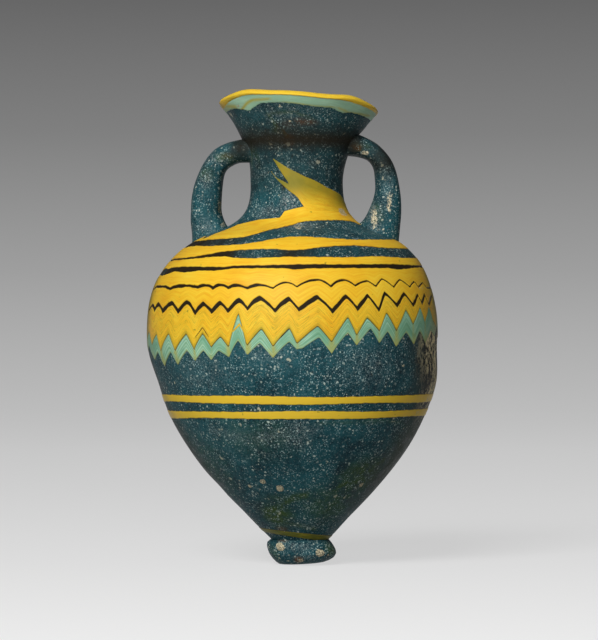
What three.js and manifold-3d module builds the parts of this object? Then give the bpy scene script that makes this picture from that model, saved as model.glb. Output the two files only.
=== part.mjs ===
// A core-formed glass amphoriskos: a small perfume amphora with a funnel mouth, two strap
// handles, an egg-shaped belly and a pad-like base knob. A yellow and a turquoise thread are
// wound round it, rolled flush into the wall and, round the belly, combed into zigzags.
//
// Each separately made glass is its own solid: the vessel wound round the core, the mouth,
// the handles, the knob and every thread. Where two glasses are melted together the solids
// meet face to face on a flat seam, or keep a hairline meltGap between them.
//
// Millimetres, +Z up, the front is -Y. The origin is the middle of the knob's flat underside.
import * as THREE from 'three';
import { mergeVertices } from 'three/addons/utils/BufferGeometryUtils.js';
import Module from 'manifold-3d';

// Vessel. The rises are in proportion: together they fill the height above the knob.
const vesselHeight = 76.15; // to the lip, before the rim is tilted
const knobRadius = 5.75;
const knobFlatRadius = 4.1;
const knobHeight = 4.2;
const footRadius = 4.75;
const footSpread = 44; // degrees above the horizontal at which the belly leaves the foot
const bellyRadius = 24.1;
const lowerBellyRise = 34.6;
const shoulderRadius = 14.2;
const upperBellyRise = 16.3;
const shoulderSlope = 20; // degrees
const neckRadius = 7.75;
const neckRise = 8.35; // from the shoulder's edge to the waist of the neck
const collarRadius = 9.2; // where the mouth is put on the neck
const collarRise = 6.9;
const collarSlope = 28; // degrees off the vertical at which the neck opens into the mouth
const mouthRadius = 13.2;
const mouthRise = 5.8;
const mouthSlope = 39; // degrees off the vertical at the lip
const wall = 2.7;
const lipThickness = 2.1;

// The yellow thread: one spiral, clockwise seen from above, that starts on the right
const threadDepth = 0.8;
const fullTurns = 5; // evenly spaced from the shoulder's edge to the border with the turquoise
const lastTurn = 0.88; // a last, wider turn runs out to a point
const threadGap = 0.4; // dark glass left between two turns
const startGap = 3; // how much wider that is at the start, on the right and in front
const startWidth = 3.9; // height of the first turn's start, at the foot of the neck
const combStart = 2.5; // turns above which nothing is combed

// The turquoise thread below it, and the comb's strokes, which drag both down
const turquoiseWidth = 2.2;
const bandLevel = -0.4; // from the belly's widest level to the border of the two colours
const bandTilt = 2.1; // how far the border is raised on the right
const combStrokes = 36;
const combDepth = 3;

// Plain threads
const bellyLineWidth = 1.1;
const bellyLineDrop = 11.2; // from the belly's widest level to the upper line
const bellyLineSpacing = 2.45;
const footThreadWidth = 0.9;
const footThreadRise = 0.7;
const rimThreadWidth = 1.15;
const dabSpread = 1.85; // radians of the neck that the smeared dab covers
const dabHeight = 7;

// Handles: straps pulled out of the neck, bent over and pressed on the shoulder
const handleThickness = 4.8;
const handleDepth = 6.4;
const handleRootThickness = 3.5;
const handleFootThickness = 5.4;
const handleFootDepth = 8.2;
const handleSpread = 1.2; // from the shoulder's edge to the middle of the upright strap
const handleArch = 6.6; // height of the bend
const handleDrop = 1.2; // from the seam of the mouth to the middle of the strap's root
const rightHandleLift = 0.8; // the right strap leaves the neck higher

// Hand-made irregularity
const rimTiltFront = 4.6; // degrees that the front of the rim is raised
const rimTiltSide = 3.2; // degrees that the left of the rim is raised above the right
const bellyLean = -0.92; // how far the belly sits to the left of the knob and neck
const knobOffset = 0.5;

const meltGap = 0.1; // hairline kept between two glasses whose shared surface is curved
const segments = 36; // facets round the vessel
const cutReach = 0.6; // how far a cutter stands clear of the surface that it cuts

// Levels
const footHeight = knobHeight;
const allRises = lowerBellyRise + upperBellyRise + neckRise + collarRise + mouthRise;
const stretch = (vesselHeight - footHeight) / allRises;
const bellyHeight = footHeight + lowerBellyRise * stretch;
const shoulderHeight = bellyHeight + upperBellyRise * stretch;
const neckHeight = shoulderHeight + neckRise * stretch;
const collarHeight = neckHeight + collarRise * stretch;

const radians = THREE.MathUtils.degToRad;
const { lerp, smoothstep } = THREE.MathUtils;
const point = (radius, height) => new THREE.Vector2(radius, height);

// A cubic curve that leaves `start` and reaches `end` along two directions, in degrees above
// the outward horizontal. Each handle's length is a share of the distance between the ends.
function sweep(start, end, startAngle, endAngle, startShare, endShare) {
  const span = start.distanceTo(end);
  const step = (angle, share) =>
    point(Math.cos(radians(angle)), Math.sin(radians(angle))).multiplyScalar(span * share);
  return new THREE.CubicBezierCurve(
    start,
    start.clone().add(step(startAngle, startShare)),
    end.clone().sub(step(endAngle, endShare)),
    end,
  );
}

// The outside of the vessel from the foot to the lip
const upright = 90;
const foot = point(footRadius, footHeight);
const belly = point(bellyRadius, bellyHeight);
const shoulder = point(shoulderRadius, shoulderHeight);
const neck = point(neckRadius, neckHeight);
const collar = point(collarRadius, collarHeight);
const lip = point(mouthRadius, vesselHeight);
const lowerBelly = sweep(foot, belly, footSpread, upright, 0.38, 0.38);
const upperBelly = sweep(belly, shoulder, upright, 180 - shoulderSlope, 0.48, 0.33);
const neckFoot = sweep(shoulder, neck, 180 - shoulderSlope, upright, 0.52, 0.47);
const neckTube = sweep(neck, collar, upright, upright - collarSlope, 0.36, 0.3);
const mouthFlare = sweep(collar, lip, upright - collarSlope, upright - mouthSlope, 0.3, 0.3);
const vesselOutline = [
  ...lowerBelly.getPoints(8),
  ...upperBelly.getPoints(7).slice(1),
  ...neckFoot.getPoints(6).slice(1),
  ...neckTube.getPoints(2).slice(1),
];
const mouthOutline = mouthFlare.getPoints(5);
const outline = [...vesselOutline, ...mouthOutline.slice(1)];

// The outward normal at each point of a run of outline points
const normals = (points) =>
  points.map((p, i) => {
    const before = points[Math.max(0, i - 1)];
    const after = points[Math.min(points.length - 1, i + 1)];
    return point(after.y - before.y, before.x - after.x).normalize();
  });
const outlineNormals = normals(outline);

// Where the outline is at a height: its radius and its outward normal
function outlineAt(height) {
  const above = outline.findIndex((p) => p.y > height);
  const i = above < 0 ? outline.length - 2 : Math.max(0, above - 1);
  const [a, b] = outline.slice(i, i + 2);
  const share = (height - a.y) / (b.y - a.y);
  return {
    radius: lerp(a.x, b.x, share),
    normal: outlineNormals[i].clone().lerp(outlineNormals[i + 1], share).normalize(),
  };
}

// Moves a run of outline points inwards by a thickness
function inset(points, thickness) {
  const outward = normals(points);
  return points.map((p, i) => p.clone().addScaledVector(outward[i], -thickness));
}

// How far the vessel's middle has wandered sideways at each level, eased from level to level
const wander = [
  [0, knobOffset],
  [footHeight, knobOffset * 0.6],
  [lerp(footHeight, bellyHeight, 0.12), 0],
  [lerp(footHeight, bellyHeight, 0.72), bellyLean * 0.08],
  [lerp(footHeight, bellyHeight, 0.95), bellyLean],
  [lerp(bellyHeight, shoulderHeight, 0.45), bellyLean],
  [shoulderHeight, bellyLean * 0.4],
  [neckHeight, bellyLean * 0.2],
  [collarHeight, knobOffset * 0.6],
];
function middleAt(height) {
  const i = wander.findIndex(([level]) => level >= height);
  if (i === 0) return wander[0][1];
  if (i < 0) return wander.at(-1)[1];
  const [low, from] = wander[i - 1];
  const [high, to] = wander[i];
  return lerp(from, to, smoothstep(height, low, high));
}

// The rim's tilt comes in over the flare of the mouth. From flareTop up it is one plain slope.
const flareTop = lerp(collarHeight, vesselHeight, 0.55);
function rimLift(x, y, height) {
  const slope = x * Math.tan(radians(rimTiltSide)) + y * Math.tan(radians(rimTiltFront));
  return -slope * smoothstep(height, collarHeight, flareTop);
}

// Bends a true solid of revolution into the hand-made shape
function place(x, y, height) {
  return new THREE.Vector3(x + middleAt(height), y, height + rimLift(x, y, height));
}

// A point of the outside at an angle and a height, sunk below the surface by a depth
function skin(angle, height, depth = 0) {
  const { radius, normal } = outlineAt(height);
  const r = radius - normal.x * depth;
  return place(r * Math.cos(angle), r * Math.sin(angle), height - normal.y * depth);
}

// A closed profile turned round the axis, then bent into the hand-made shape
function turned(profile) {
  const geometry = new THREE.LatheGeometry(profile, segments);
  geometry.rotateX(Math.PI / 2);
  const position = geometry.getAttribute('position');
  for (let i = 0; i < position.count; i++) {
    const p = place(position.getX(i), position.getY(i), position.getZ(i));
    position.setXYZ(i, p.x, p.y, p.z);
  }
  return geometry;
}

// A solid through a row of sections that have the same number of points. A closed one joins
// its last section to its first, and an open one gets a flat cap on each end.
function lofted(sections, closed) {
  const count = sections[0].length;
  const index = [];
  const spans = closed ? sections.length : sections.length - 1;
  for (let i = 0; i < spans; i++) {
    const here = i * count;
    const next = ((i + 1) % sections.length) * count;
    for (let j = 0; j < count; j++) {
      const k = (j + 1) % count;
      index.push(here + j, next + j, next + k, here + j, next + k, here + k);
    }
  }
  if (!closed) {
    const end = (sections.length - 1) * count;
    for (let j = 1; j < count - 1; j++) {
      index.push(0, j, j + 1, end, end + j + 1, end + j);
    }
  }
  return new THREE.BufferGeometry().setFromPoints(sections.flat()).setIndex(index);
}

// A glass thread let into the wall: a strip between two edges whose heights are functions of
// the turn, counted clockwise from the right-hand side. A closed thread is a ring. `grow` makes
// the groove that holds the thread, open to the outside.
const fullTurn = 2 * Math.PI;
const bulge = (width) => (width * width) / (4 * bellyRadius); // of the wall, across a strip
function thread({ turns, upper, lower, closed = false }, grow = 0) {
  const inside = threadDepth + grow;
  const section = (turn, extra) => {
    const angle = extra - turn * fullTurn;
    const width = upper(turn) - lower(turn);
    const draft = (width * 0.12) / threadDepth;
    const outside = grow > 0 ? -cutReach - bulge(width) : 0;
    const top = (depth) => skin(angle, upper(turn) + grow - draft * depth, depth);
    const bottom = (depth) => skin(angle, lower(turn) - grow + draft * depth, depth);
    return [bottom(inside), top(inside), top(outside), bottom(outside)];
  };
  const sections = turns.map((turn) => section(turn, 0));
  if (grow > 0 && !closed) {
    const reach = grow / neckRadius;
    sections.unshift(section(turns[0], reach));
    sections.push(section(turns.at(-1), -reach));
  }
  return lofted(sections, closed);
}

// The turns from one to another that lie on the vessel's facets, or on a finer even division
function stations(from, to, perTurn) {
  const first = Math.round(from * perTurn);
  const last = Math.round(to * perTurn);
  return Array.from({ length: last - first + 1 }, (_, i) => (first + i) / perTurn);
}
const ringStations = (perTurn) => stations(0, 1, perTurn).slice(0, -1);

const wasm = await Module();
wasm.setup();

function toSolid(geometry) {
  const bare = geometry.clone();
  bare.deleteAttribute('normal');
  bare.deleteAttribute('uv');
  const merged = mergeVertices(bare, 1e-4);
  return new wasm.Manifold(
    new wasm.Mesh({
      numProp: 3,
      vertProperties: merged.getAttribute('position').array,
      triVerts: new Uint32Array(merged.index.array),
    }),
  );
}

function toGeometry(solid) {
  const { vertProperties, triVerts, numProp } = solid.getMesh();
  const buffer = new THREE.InterleavedBuffer(vertProperties, numProp);
  const geometry = new THREE.BufferGeometry();
  geometry.setAttribute('position', new THREE.InterleavedBufferAttribute(buffer, 3, 0));
  geometry.setIndex(new THREE.BufferAttribute(triVerts, 1));
  return geometry.toNonIndexed();
}

const cut = (geometry, ...tools) =>
  toGeometry(tools.reduce((solid, tool) => solid.subtract(toSolid(tool)), toSolid(geometry)));

// Glasses
const teal = new THREE.MeshStandardMaterial({ color: 0x1f4a55, roughness: 0.35, metalness: 0 });
const yellow = new THREE.MeshStandardMaterial({ color: 0xf2bd12, roughness: 0.3, metalness: 0 });
const turquoise = new THREE.MeshStandardMaterial({ color: 0x6fb79a, roughness: 0.3, metalness: 0 });
const olive = new THREE.MeshStandardMaterial({ color: 0x6a7a24, roughness: 0.35, metalness: 0 });

const vessel = new THREE.Group();
function add(name, geometry, material) {
  geometry.computeVertexNormals();
  const mesh = new THREE.Mesh(geometry, material);
  mesh.name = name;
  vessel.add(mesh);
}

// The comb: 0.5 where a stroke has dragged a thread down, -0.5 half way to the next stroke
function comb(turn) {
  const stroke = turn * combStrokes - Math.floor(turn * combStrokes);
  return 0.5 - Math.abs(2 * stroke - 1);
}

// The dark line below each turn of the yellow thread, by turn. After the full turns it is the
// border of the two colours, and the last turn ends in a point where it meets that border again.
const border = (turn) => bellyHeight + bandLevel + bandTilt * Math.cos(turn * fullTurn);
const threadPitch = (shoulderHeight - border(0)) / fullTurns;
const lineStart = lastTurn - 1;
function line(turn) {
  const level = turn < fullTurns ? shoulderHeight - threadPitch * turn : border(turn);
  const spread = startGap * Math.max(0, 1 - 0.55 * turn);
  const facing = Math.max(0, Math.cos((turn - 0.12) * fullTurn));
  const combed = smoothstep(turn, combStart, fullTurns);
  const middle = level - comb(turn) * combDepth * combed;
  const half = (threadGap + spread * facing) / 2;
  return { top: middle + half, bottom: middle - half };
}
const neckFootTop = shoulderHeight + startWidth;
const yellowTrail = {
  turns: [
    ...stations(lineStart, combStart, segments),
    ...stations(combStart, fullTurns + lastTurn, 2 * combStrokes).slice(1),
  ],
  upper: (turn) => {
    const start = lerp(neckFootTop, shoulderHeight, smoothstep(turn, 0.1, 0.6));
    return turn - 1 < lineStart ? start : Math.min(start, line(turn - 1).bottom);
  },
  lower: (turn) => line(turn).top,
};
const turquoiseTrail = {
  turns: ringStations(2 * combStrokes),
  closed: true,
  upper: (turn) => border(turn) - comb(turn) * combDepth - meltGap,
  lower: (turn) => border(turn) - comb(turn) * combDepth * 0.87 - turquoiseWidth,
};

// Plain rings
const ring = (height, width) => ({
  turns: ringStations(segments),
  closed: true,
  upper: () => height + width / 2,
  lower: () => height - width / 2,
});
const upperBellyLine = ring(bellyHeight - bellyLineDrop, bellyLineWidth);
const lowerBellyLine = ring(bellyHeight - bellyLineDrop - bellyLineSpacing, bellyLineWidth);
const footThread = ring(footHeight + footThreadRise + footThreadWidth / 2, footThreadWidth);

// A dab of yellow above the thread's start, smeared up the front of the neck to a point
const dabStart = 0.04;
const dabTurns = dabSpread / fullTurn;
const dabBottom = neckFootTop + 4 * meltGap;
const dabShare = (turn) => THREE.MathUtils.clamp((turn - dabStart) / dabTurns, 0, 1);
const neckDab = {
  turns: stations(dabStart, dabStart + dabTurns, segments),
  upper: (turn) => dabBottom + dabHeight * lerp(0.42, 1, dabShare(turn)),
  lower: (turn) => dabBottom + dabHeight * 0.92 * smoothstep(dabShare(turn), 0.3, 1),
};

const wallThreads = {
  trail_yellow: [yellowTrail, yellow],
  trail_turquoise: [turquoiseTrail, turquoise],
  belly_line_upper_yellow: [upperBellyLine, yellow],
  belly_line_lower_yellow: [lowerBellyLine, yellow],
  foot_thread_olive: [footThread, olive],
  neck_dab_yellow: [neckDab, yellow],
};

// The vessel: hollow, with a groove for each thread
const inside = inset(vesselOutline, wall).filter((p) => p.x > 0);
const cavityTop = point(inside.at(-1).x, collarHeight);
const cavity = [...inside.filter((p, i) => p.y < neckHeight && i % 2 === 0), cavityTop].reverse();
const bottomOfCavity = point(0, cavity.at(-1).y);
const vesselProfile = [point(0, footHeight), ...vesselOutline, ...cavity, bottomOfCavity];
const grooves = Object.values(wallThreads).map(([shape]) => thread(shape, meltGap));
add('vessel_body', cut(turned(vesselProfile), ...grooves), teal);
for (const [name, [shape, glass]] of Object.entries(wallThreads)) {
  add(name, thread(shape), glass);
}

// The mouth: a funnel put on the neck, with a turquoise thread under its lip and a yellow one on
// it. The three meet on flat seats.
const lipCrest = point(mouthRadius - lipThickness * 0.45, vesselHeight + lipThickness * 0.25);
const lipInner = point(mouthRadius - lipThickness, vesselHeight - lipThickness * 0.1);
const funnel = sweep(cavityTop, lipInner, 62, 45, 0.3, 0.3).getPoints(4).reverse();
const seatHeight = vesselHeight - lipThickness * 0.3;
const ledgeHeight = seatHeight - rimThreadWidth;
const onOutline = (height, depth = 0) => point(outlineAt(height).radius - depth, height);
const seat = [onOutline(seatHeight), onOutline(seatHeight, threadDepth), point(lipInner.x, seatHeight)];
const ledge = [onOutline(ledgeHeight), onOutline(ledgeHeight, threadDepth)];
const flare = mouthOutline.filter((p) => p.y < ledgeHeight - meltGap);
const mouthProfile = [...flare, ...ledge, seat[1], seat[2], ...funnel.slice(1), flare[0]];
add('mouth_funnel', turned(mouthProfile), teal);
add('rim_thread_turquoise', turned([ledge[0], seat[0], seat[1], ledge[1], ledge[0]]), turquoise);
add('rim_thread_yellow', turned([seat[0], lip, lipCrest, lipInner, seat[2], seat[1], seat[0]]), yellow);

// The base knob: a pad pressed flat underneath
const knobSide = new THREE.CubicBezierCurve(
  point(knobFlatRadius, 0),
  point(knobRadius, knobHeight * 0.12),
  point(knobRadius * 1.06, knobHeight * 0.7),
  foot,
);
add('base_knob', turned([point(0, 0), ...knobSide.getPoints(7), point(0, footHeight)]), teal);

// A handle runs out of the neck, bends over and comes down on the shoulder. Both ends go into
// the vessel and are cut back to its outside.
const handleReach = shoulderRadius + handleSpread;
function handle(side, lift) {
  const root = collarHeight - handleDrop + lift;
  const at = (x, z) => new THREE.Vector3(side * x, 0, z);
  const bendEnd = at(handleReach, root - handleArch);
  const round = 0.55; // a cubic curve's handles for a quarter of an ellipse, as a share
  const middle = new THREE.CurvePath();
  middle.add(new THREE.LineCurve3(at(neckRadius * 0.7, root), at(neckRadius, root)));
  middle.add(
    new THREE.CubicBezierCurve3(
      at(neckRadius, root),
      at(lerp(neckRadius, handleReach, round), root),
      at(handleReach, root - handleArch * (1 - round)),
      bendEnd,
    ),
  );
  middle.add(new THREE.LineCurve3(bendEnd, at(handleReach, shoulderHeight - wall)));
  const lengths = 18;
  const corners = 12;
  const sections = Array.from({ length: lengths + 1 }, (_, i) => {
    const share = i / lengths;
    const centre = middle.getPointAt(share);
    const tangent = middle.getTangentAt(share);
    const across = new THREE.Vector3(-tangent.z, 0, tangent.x);
    const grown = smoothstep(share, 0.1, 0.5);
    const pressed = smoothstep(share, 0.62, 0.9);
    const strap = lerp(handleRootThickness, handleThickness, grown);
    const halfThickness = lerp(strap, handleFootThickness, pressed) / 2;
    const halfDepth = lerp(handleDepth, handleFootDepth, pressed) / 2;
    return Array.from({ length: corners }, (_, j) => {
      const angle = (j / corners) * fullTurn;
      const squared = (v) => Math.sign(v) * Math.sqrt(Math.abs(v));
      return centre
        .clone()
        .addScaledVector(across, squared(Math.cos(angle)) * halfThickness)
        .add(new THREE.Vector3(middleAt(centre.z), squared(Math.sin(angle)) * halfDepth, 0));
    });
  });
  return lofted(sections, false);
}

// The vessel and its mouth without their hollow, a hairline larger
const envelope = turned([
  point(0, footHeight),
  ...inset(vesselOutline, -meltGap),
  ...inset(mouthOutline, -meltGap).slice(1),
  point(0, vesselHeight),
]);
add('handle_left', cut(handle(-1, 0), envelope), teal);
add('handle_right', cut(handle(1, rightHandleLift), envelope), teal);

export default vessel;
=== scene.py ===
"""A core-formed glass amphoriskos on a pale floor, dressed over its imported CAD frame.

Shapes are worked out in millimetres in the part's own frame (+Z up, the front is -Y) and
become meshes in metres. An angle is counted from the front, in degrees, positive to the
right. A turn is counted clockwise seen from above, from the right-hand side, so the front is
at a quarter turn. Each glass is its own closed piece and stands for its solid.
"""

from math import cos, radians, sin

import bpy
import numpy as np
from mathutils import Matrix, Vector


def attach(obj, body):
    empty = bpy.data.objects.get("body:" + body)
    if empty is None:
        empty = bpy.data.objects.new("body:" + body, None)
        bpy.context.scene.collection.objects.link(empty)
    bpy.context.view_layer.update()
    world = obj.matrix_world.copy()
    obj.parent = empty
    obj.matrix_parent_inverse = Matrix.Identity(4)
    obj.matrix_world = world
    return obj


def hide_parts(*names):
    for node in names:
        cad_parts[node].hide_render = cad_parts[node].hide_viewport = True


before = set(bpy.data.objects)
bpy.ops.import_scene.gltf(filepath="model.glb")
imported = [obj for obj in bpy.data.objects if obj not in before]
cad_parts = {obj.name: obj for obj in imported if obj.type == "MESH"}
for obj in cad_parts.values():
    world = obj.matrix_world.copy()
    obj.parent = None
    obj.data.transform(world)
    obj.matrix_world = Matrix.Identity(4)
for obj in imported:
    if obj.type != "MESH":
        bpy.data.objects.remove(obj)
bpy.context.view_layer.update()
MM = 0.001

# The photograph's view, as six pixels to the millimetre at the vessel's axis
CAMERA_DISTANCE = 572.0
CAMERA_X = 0.17
EYE_HEIGHT = 38.3
CAMERA_TILT = 90.24
LENS = 193
SENSOR_WIDTH = 36
AXIS_X = 299
EYE_Y = 334
PIXELS = 6.0

# Sizes of the vessel, with its outline's points as a radius and a height each
FOOT = (4.75, 4.2)
BELLY = (24.1, 38.8)
SHOULDER = (14.2, 55.1)
NECK = (7.75, 63.45)
COLLAR = (9.2, 70.35)
LIP = (13.2, 76.15)
WALL = 2.7
LIP_THICKNESS = 2.1
BELLY_LEAN = -0.92
KNOB_OFFSET = 0.5
RIM_TILT_FRONT = 4.6
RIM_TILT_SIDE = 3.2

# How far a thread and a smear stand out of the wall, how far their edges lie in it, and the
# least width of both
PROUD = 0.06
SMEAR_PROUD = 0.09
EDGE_SINK = 0.01
LEAST_WIDTH = 0.02
# The small radius at which a fan of triangles closes the vessel's floor
POLE = 0.3


def smoothstep(value, low, high):
    """Eases from 0 at low to 1 at high, as s^2 (3 - 2 s)."""
    share = np.clip((value - low) / (high - low), 0, 1)
    return share * share * (3 - 2 * share)


def hump(value, centre, half_width):
    """A soft hump, exp(-((value - centre) / half width)^2)."""
    return np.exp(-(((value - centre) / half_width) ** 2))


def signed(angle):
    """An angle from the front, as degrees between -180 and 180."""
    return (np.asarray(angle) + 180) % 360 - 180


def sweep(start, end, start_angle, end_angle, start_share, end_share, count=90):
    """A cubic curve (1-t)^3 A + 3t(1-t)^2 B + 3t^2(1-t) C + t^3 D that leaves and arrives along
    two directions, in degrees above the outward horizontal."""
    start, end = np.array(start), np.array(end)
    span = np.hypot(*(end - start))
    first = start + span * start_share * np.array([cos(radians(start_angle)), sin(radians(start_angle))])
    second = end - span * end_share * np.array([cos(radians(end_angle)), sin(radians(end_angle))])
    t = np.linspace(0, 1, count)[:, None]
    return (1 - t) ** 3 * start + 3 * t * (1 - t) ** 2 * first + 3 * t**2 * (1 - t) * second + t**3 * end


OUTLINE = np.concatenate(
    [
        sweep(FOOT, BELLY, 44, 90, 0.38, 0.38),
        sweep(BELLY, SHOULDER, 90, 160, 0.48, 0.33)[1:],
        sweep(SHOULDER, NECK, 160, 90, 0.52, 0.47)[1:],
        sweep(NECK, COLLAR, 90, 62, 0.36, 0.3)[1:],
        sweep(COLLAR, LIP, 62, 51, 0.3, 0.3)[1:],
    ]
)
SLOPE = np.gradient(OUTLINE[:, 0], OUTLINE[:, 1])
# How far the vessel's middle has wandered to the right, at some heights
WANDER = np.array(
    [
        (0, KNOB_OFFSET),
        (FOOT[1], KNOB_OFFSET * 0.6),
        (8.35, 0),
        (29.1, BELLY_LEAN * 0.08),
        (37.1, BELLY_LEAN),
        (46.1, BELLY_LEAN),
        (SHOULDER[1], BELLY_LEAN * 0.4),
        (NECK[1], BELLY_LEAN * 0.2),
        (COLLAR[1], KNOB_OFFSET * 0.2),
    ]
)


def outside(height):
    """The outline's radius at a height."""
    return np.interp(height, OUTLINE[:, 1], OUTLINE[:, 0])


def middle(height):
    """How far the vessel's middle has wandered to the right at a height, eased between points."""
    levels, offsets = WANDER.T
    height = np.clip(height, 0, levels[-1])
    i = np.clip(np.searchsorted(levels, height) - 1, 0, len(levels) - 2)
    share = smoothstep(height, levels[i], levels[i + 1])
    return offsets[i] + (offsets[i + 1] - offsets[i]) * share


def dents(angle, height):
    """The slight unevenness of a hand-made wall, as a radius to add: low waves, which fade at
    the foot and at the mouth, less two shallow hollows at the left."""
    around = np.radians(angle)
    uneven = np.sin(2 * around + height * 0.11 + 0.7) * 0.07 + np.sin(3 * around - height * 0.17) * 0.05
    uneven += np.sin(5 * around + height * 0.31 + 2.1) * 0.03 + np.sin(height * 0.63 + around) * 0.025
    uneven = uneven * smoothstep(height, 5, 12) * (1 - smoothstep(height, 62, 70))
    hollows = 0.22 * hump(height, 13.2, 1.6) + 0.38 * hump(height, 8.6, 2.8)
    return uneven - hump(signed(angle + 90), 0, 30) * hollows


def rim_wave(angle, height):
    """How far the rim is pulled up, mostly at two corners left and right of the front."""
    away = np.abs(signed(angle))
    wave = 0.5 * hump(away, 43, 17) + 0.25 * hump(away, 150, 22) + 0.28 * hump(signed(angle + 8), 0, 26)
    return wave * smoothstep(height, COLLAR[1] + 1.5, LIP[1])


def bend(radius, angle, height):
    """Points from a radius, an angle and a height, moved into the hand-made shape."""
    around = np.radians(angle)
    x, y = radius * np.sin(around), -radius * np.cos(around)
    slope = x * np.tan(radians(RIM_TILT_SIDE)) + y * np.tan(radians(RIM_TILT_FRONT))
    lift = rim_wave(angle, height) - slope * smoothstep(height, COLLAR[1], COLLAR[1] + 3.2)
    return np.stack([x + middle(height), y, height + lift], axis=-1)


def skin(angle, height, depth=0.0):
    """A point of the outside, sunk below the surface by a depth along its normal."""
    slope = np.interp(height, OUTLINE[:, 1], SLOPE)
    length = np.sqrt(1 + slope**2)
    radius = outside(height) + dents(angle, height) - depth / length
    return bend(radius, angle, height + depth * slope / length)


def seen(points):
    """Angles from the front and heights of spots of the outside, from where they lie in the
    photograph, in its pixels: the view's projection is inverted step by step."""
    x, y = np.array(points, dtype=float).T
    height = EYE_HEIGHT + (EYE_Y - y) / PIXELS
    angle = np.zeros_like(x)
    for _ in range(14):
        radius = outside(height)
        scale = PIXELS * CAMERA_DISTANCE / (CAMERA_DISTANCE - radius * np.cos(angle))
        sine = ((x - AXIS_X) / scale + CAMERA_X - middle(height)) / radius
        angle = np.arcsin(np.clip(sine, -0.999, 0.999))
        height = EYE_HEIGHT + (EYE_Y - y) / scale
    return np.degrees(angle), height


def piece(name, sections, slot, ring=False, node=None, **masks):
    """A closed piece from a grid of points P[i, j], in mm: section i has m points round it.

    P[i, j] is joined to P[i + 1, j] and to P[i, j + 1], and each section's last point to its
    first. A ring joins its last section to its first too. Otherwise a fan of triangles round
    the mean point closes each end. Masks are numbers kept at each point for the material,
    which is the glass of the slot's name. Without another node, it stands for that of its name.
    """
    count, around = sections.shape[:2]
    index = np.arange(count * around).reshape(count, around)
    right = np.roll(index, -1, axis=1)
    if ring:
        up, up_right = np.roll(index, -1, axis=0), np.roll(right, -1, axis=0)
        quads = np.stack([index, right, up_right, up], axis=-1).reshape(-1, 4)
        fans = np.empty((0, 3), dtype=int)
    else:
        quads = np.stack([index[:-1], right[:-1], right[1:], index[1:]], axis=-1).reshape(-1, 4)
        low, high = count * around, count * around + 1
        first = np.stack([right[0], index[0], np.full(around, low)], axis=-1)
        last = np.stack([index[-1], right[-1], np.full(around, high)], axis=-1)
        fans = np.concatenate([first, last])

    def with_ends(values):
        flat = values.reshape(count * around, *values.shape[2:])
        if ring:
            return flat
        return np.concatenate([flat, values[0].mean(axis=0)[None], values[-1].mean(axis=0)[None]])

    points = with_ends(sections)
    a, b, c, d = (points[quads[:, k]] for k in range(4))
    volume = np.einsum("ij,ij->i", a, np.cross(b, c)).sum() + np.einsum("ij,ij->i", a, np.cross(c, d)).sum()
    if volume < 0:
        quads, fans = quads[:, ::-1], fans[:, ::-1]
    mesh = bpy.data.meshes.new(name)
    mesh.vertices.add(len(points))
    mesh.vertices.foreach_set("co", (points * MM).astype(np.float32).ravel())
    mesh.loops.add(quads.size + fans.size)
    mesh.loops.foreach_set("vertex_index", np.concatenate([quads.ravel(), fans.ravel()]).astype(np.int32))
    mesh.polygons.add(len(quads) + len(fans))
    starts = np.concatenate([np.arange(len(quads)) * 4, quads.size + np.arange(len(fans)) * 3])
    mesh.polygons.foreach_set("loop_start", starts.astype(np.int32))
    mesh.update(calc_edges=True)
    mesh.shade_smooth()
    for mask, values in masks.items():
        values = np.broadcast_to(values, (count, around))
        layer = mesh.attributes.new(mask, "FLOAT", "POINT")
        layer.data.foreach_set("value", with_ends(values).astype(np.float32))
    mesh.materials.append(GLASSES[slot])
    made = bpy.data.objects.new(name, mesh)
    bpy.context.scene.collection.objects.link(made)
    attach(made, "root")
    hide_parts(node or name)


def dabs(spots, sideways, height):
    """Soft-edged dabs, each (place, level, half width, half height, strength): the strength times
    exp(-d^3), where d is the way from its middle, counted in its half width and half height."""
    total = 0.0
    for place, level, half_width, half_height, strength in spots:
        away = (sideways(place, level) / half_width) ** 2 + ((height - level) / half_height) ** 2
        total = np.maximum(total, strength * np.exp(-(away**1.5)))
    return total


def patches(angle, height, spots):
    """Dabs on the wall, each placed by its angle from the front and its height."""
    return dabs(spots, lambda at, level: np.radians(signed(angle - at)) * outside(level), height)


def strokes(angle, height, paths):
    """Soft streaks along lines of (angle, height), each with a half width and a strength."""
    total = 0.0
    away = signed(angle)
    for points, half_width, strength in paths:
        at, level = np.array(sorted(points), dtype=float).T
        ends = smoothstep(away, at[0] - 3, at[0] + 2) * (1 - smoothstep(away, at[-1] - 2, at[-1] + 3))
        total = np.maximum(total, strength * ends * hump(height, np.interp(away, at, level), half_width))
    return total


# Materials


def connect(tree, node, inputs):
    """Sets a node's inputs, each to a number or from a linked socket."""
    for key, value in inputs.items():
        if isinstance(value, bpy.types.NodeSocket):
            tree.links.new(value, node.inputs[key])
        else:
            node.inputs[key].default_value = value


def add(tree, kind, inputs, **settings):
    """A node of a kind, with its own settings and its inputs."""
    made = tree.nodes.new("ShaderNode" + kind)
    for setting, value in settings.items():
        setattr(made, setting, value)
    connect(tree, made, inputs)
    return made


def maths(tree, operation, *values, clamp=False):
    return add(tree, "Math", dict(enumerate(values)), operation=operation, use_clamp=clamp).outputs[0]


def times(tree, first, second):
    return maths(tree, "MULTIPLY", first, second)


def blend(tree, *parts):
    """The sum of values, each given with its weight."""
    weighted = [times(tree, value, weight) for value, weight in parts]
    total = weighted[0]
    for value in weighted[1:]:
        total = maths(tree, "ADD", total, value)
    return total


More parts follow.
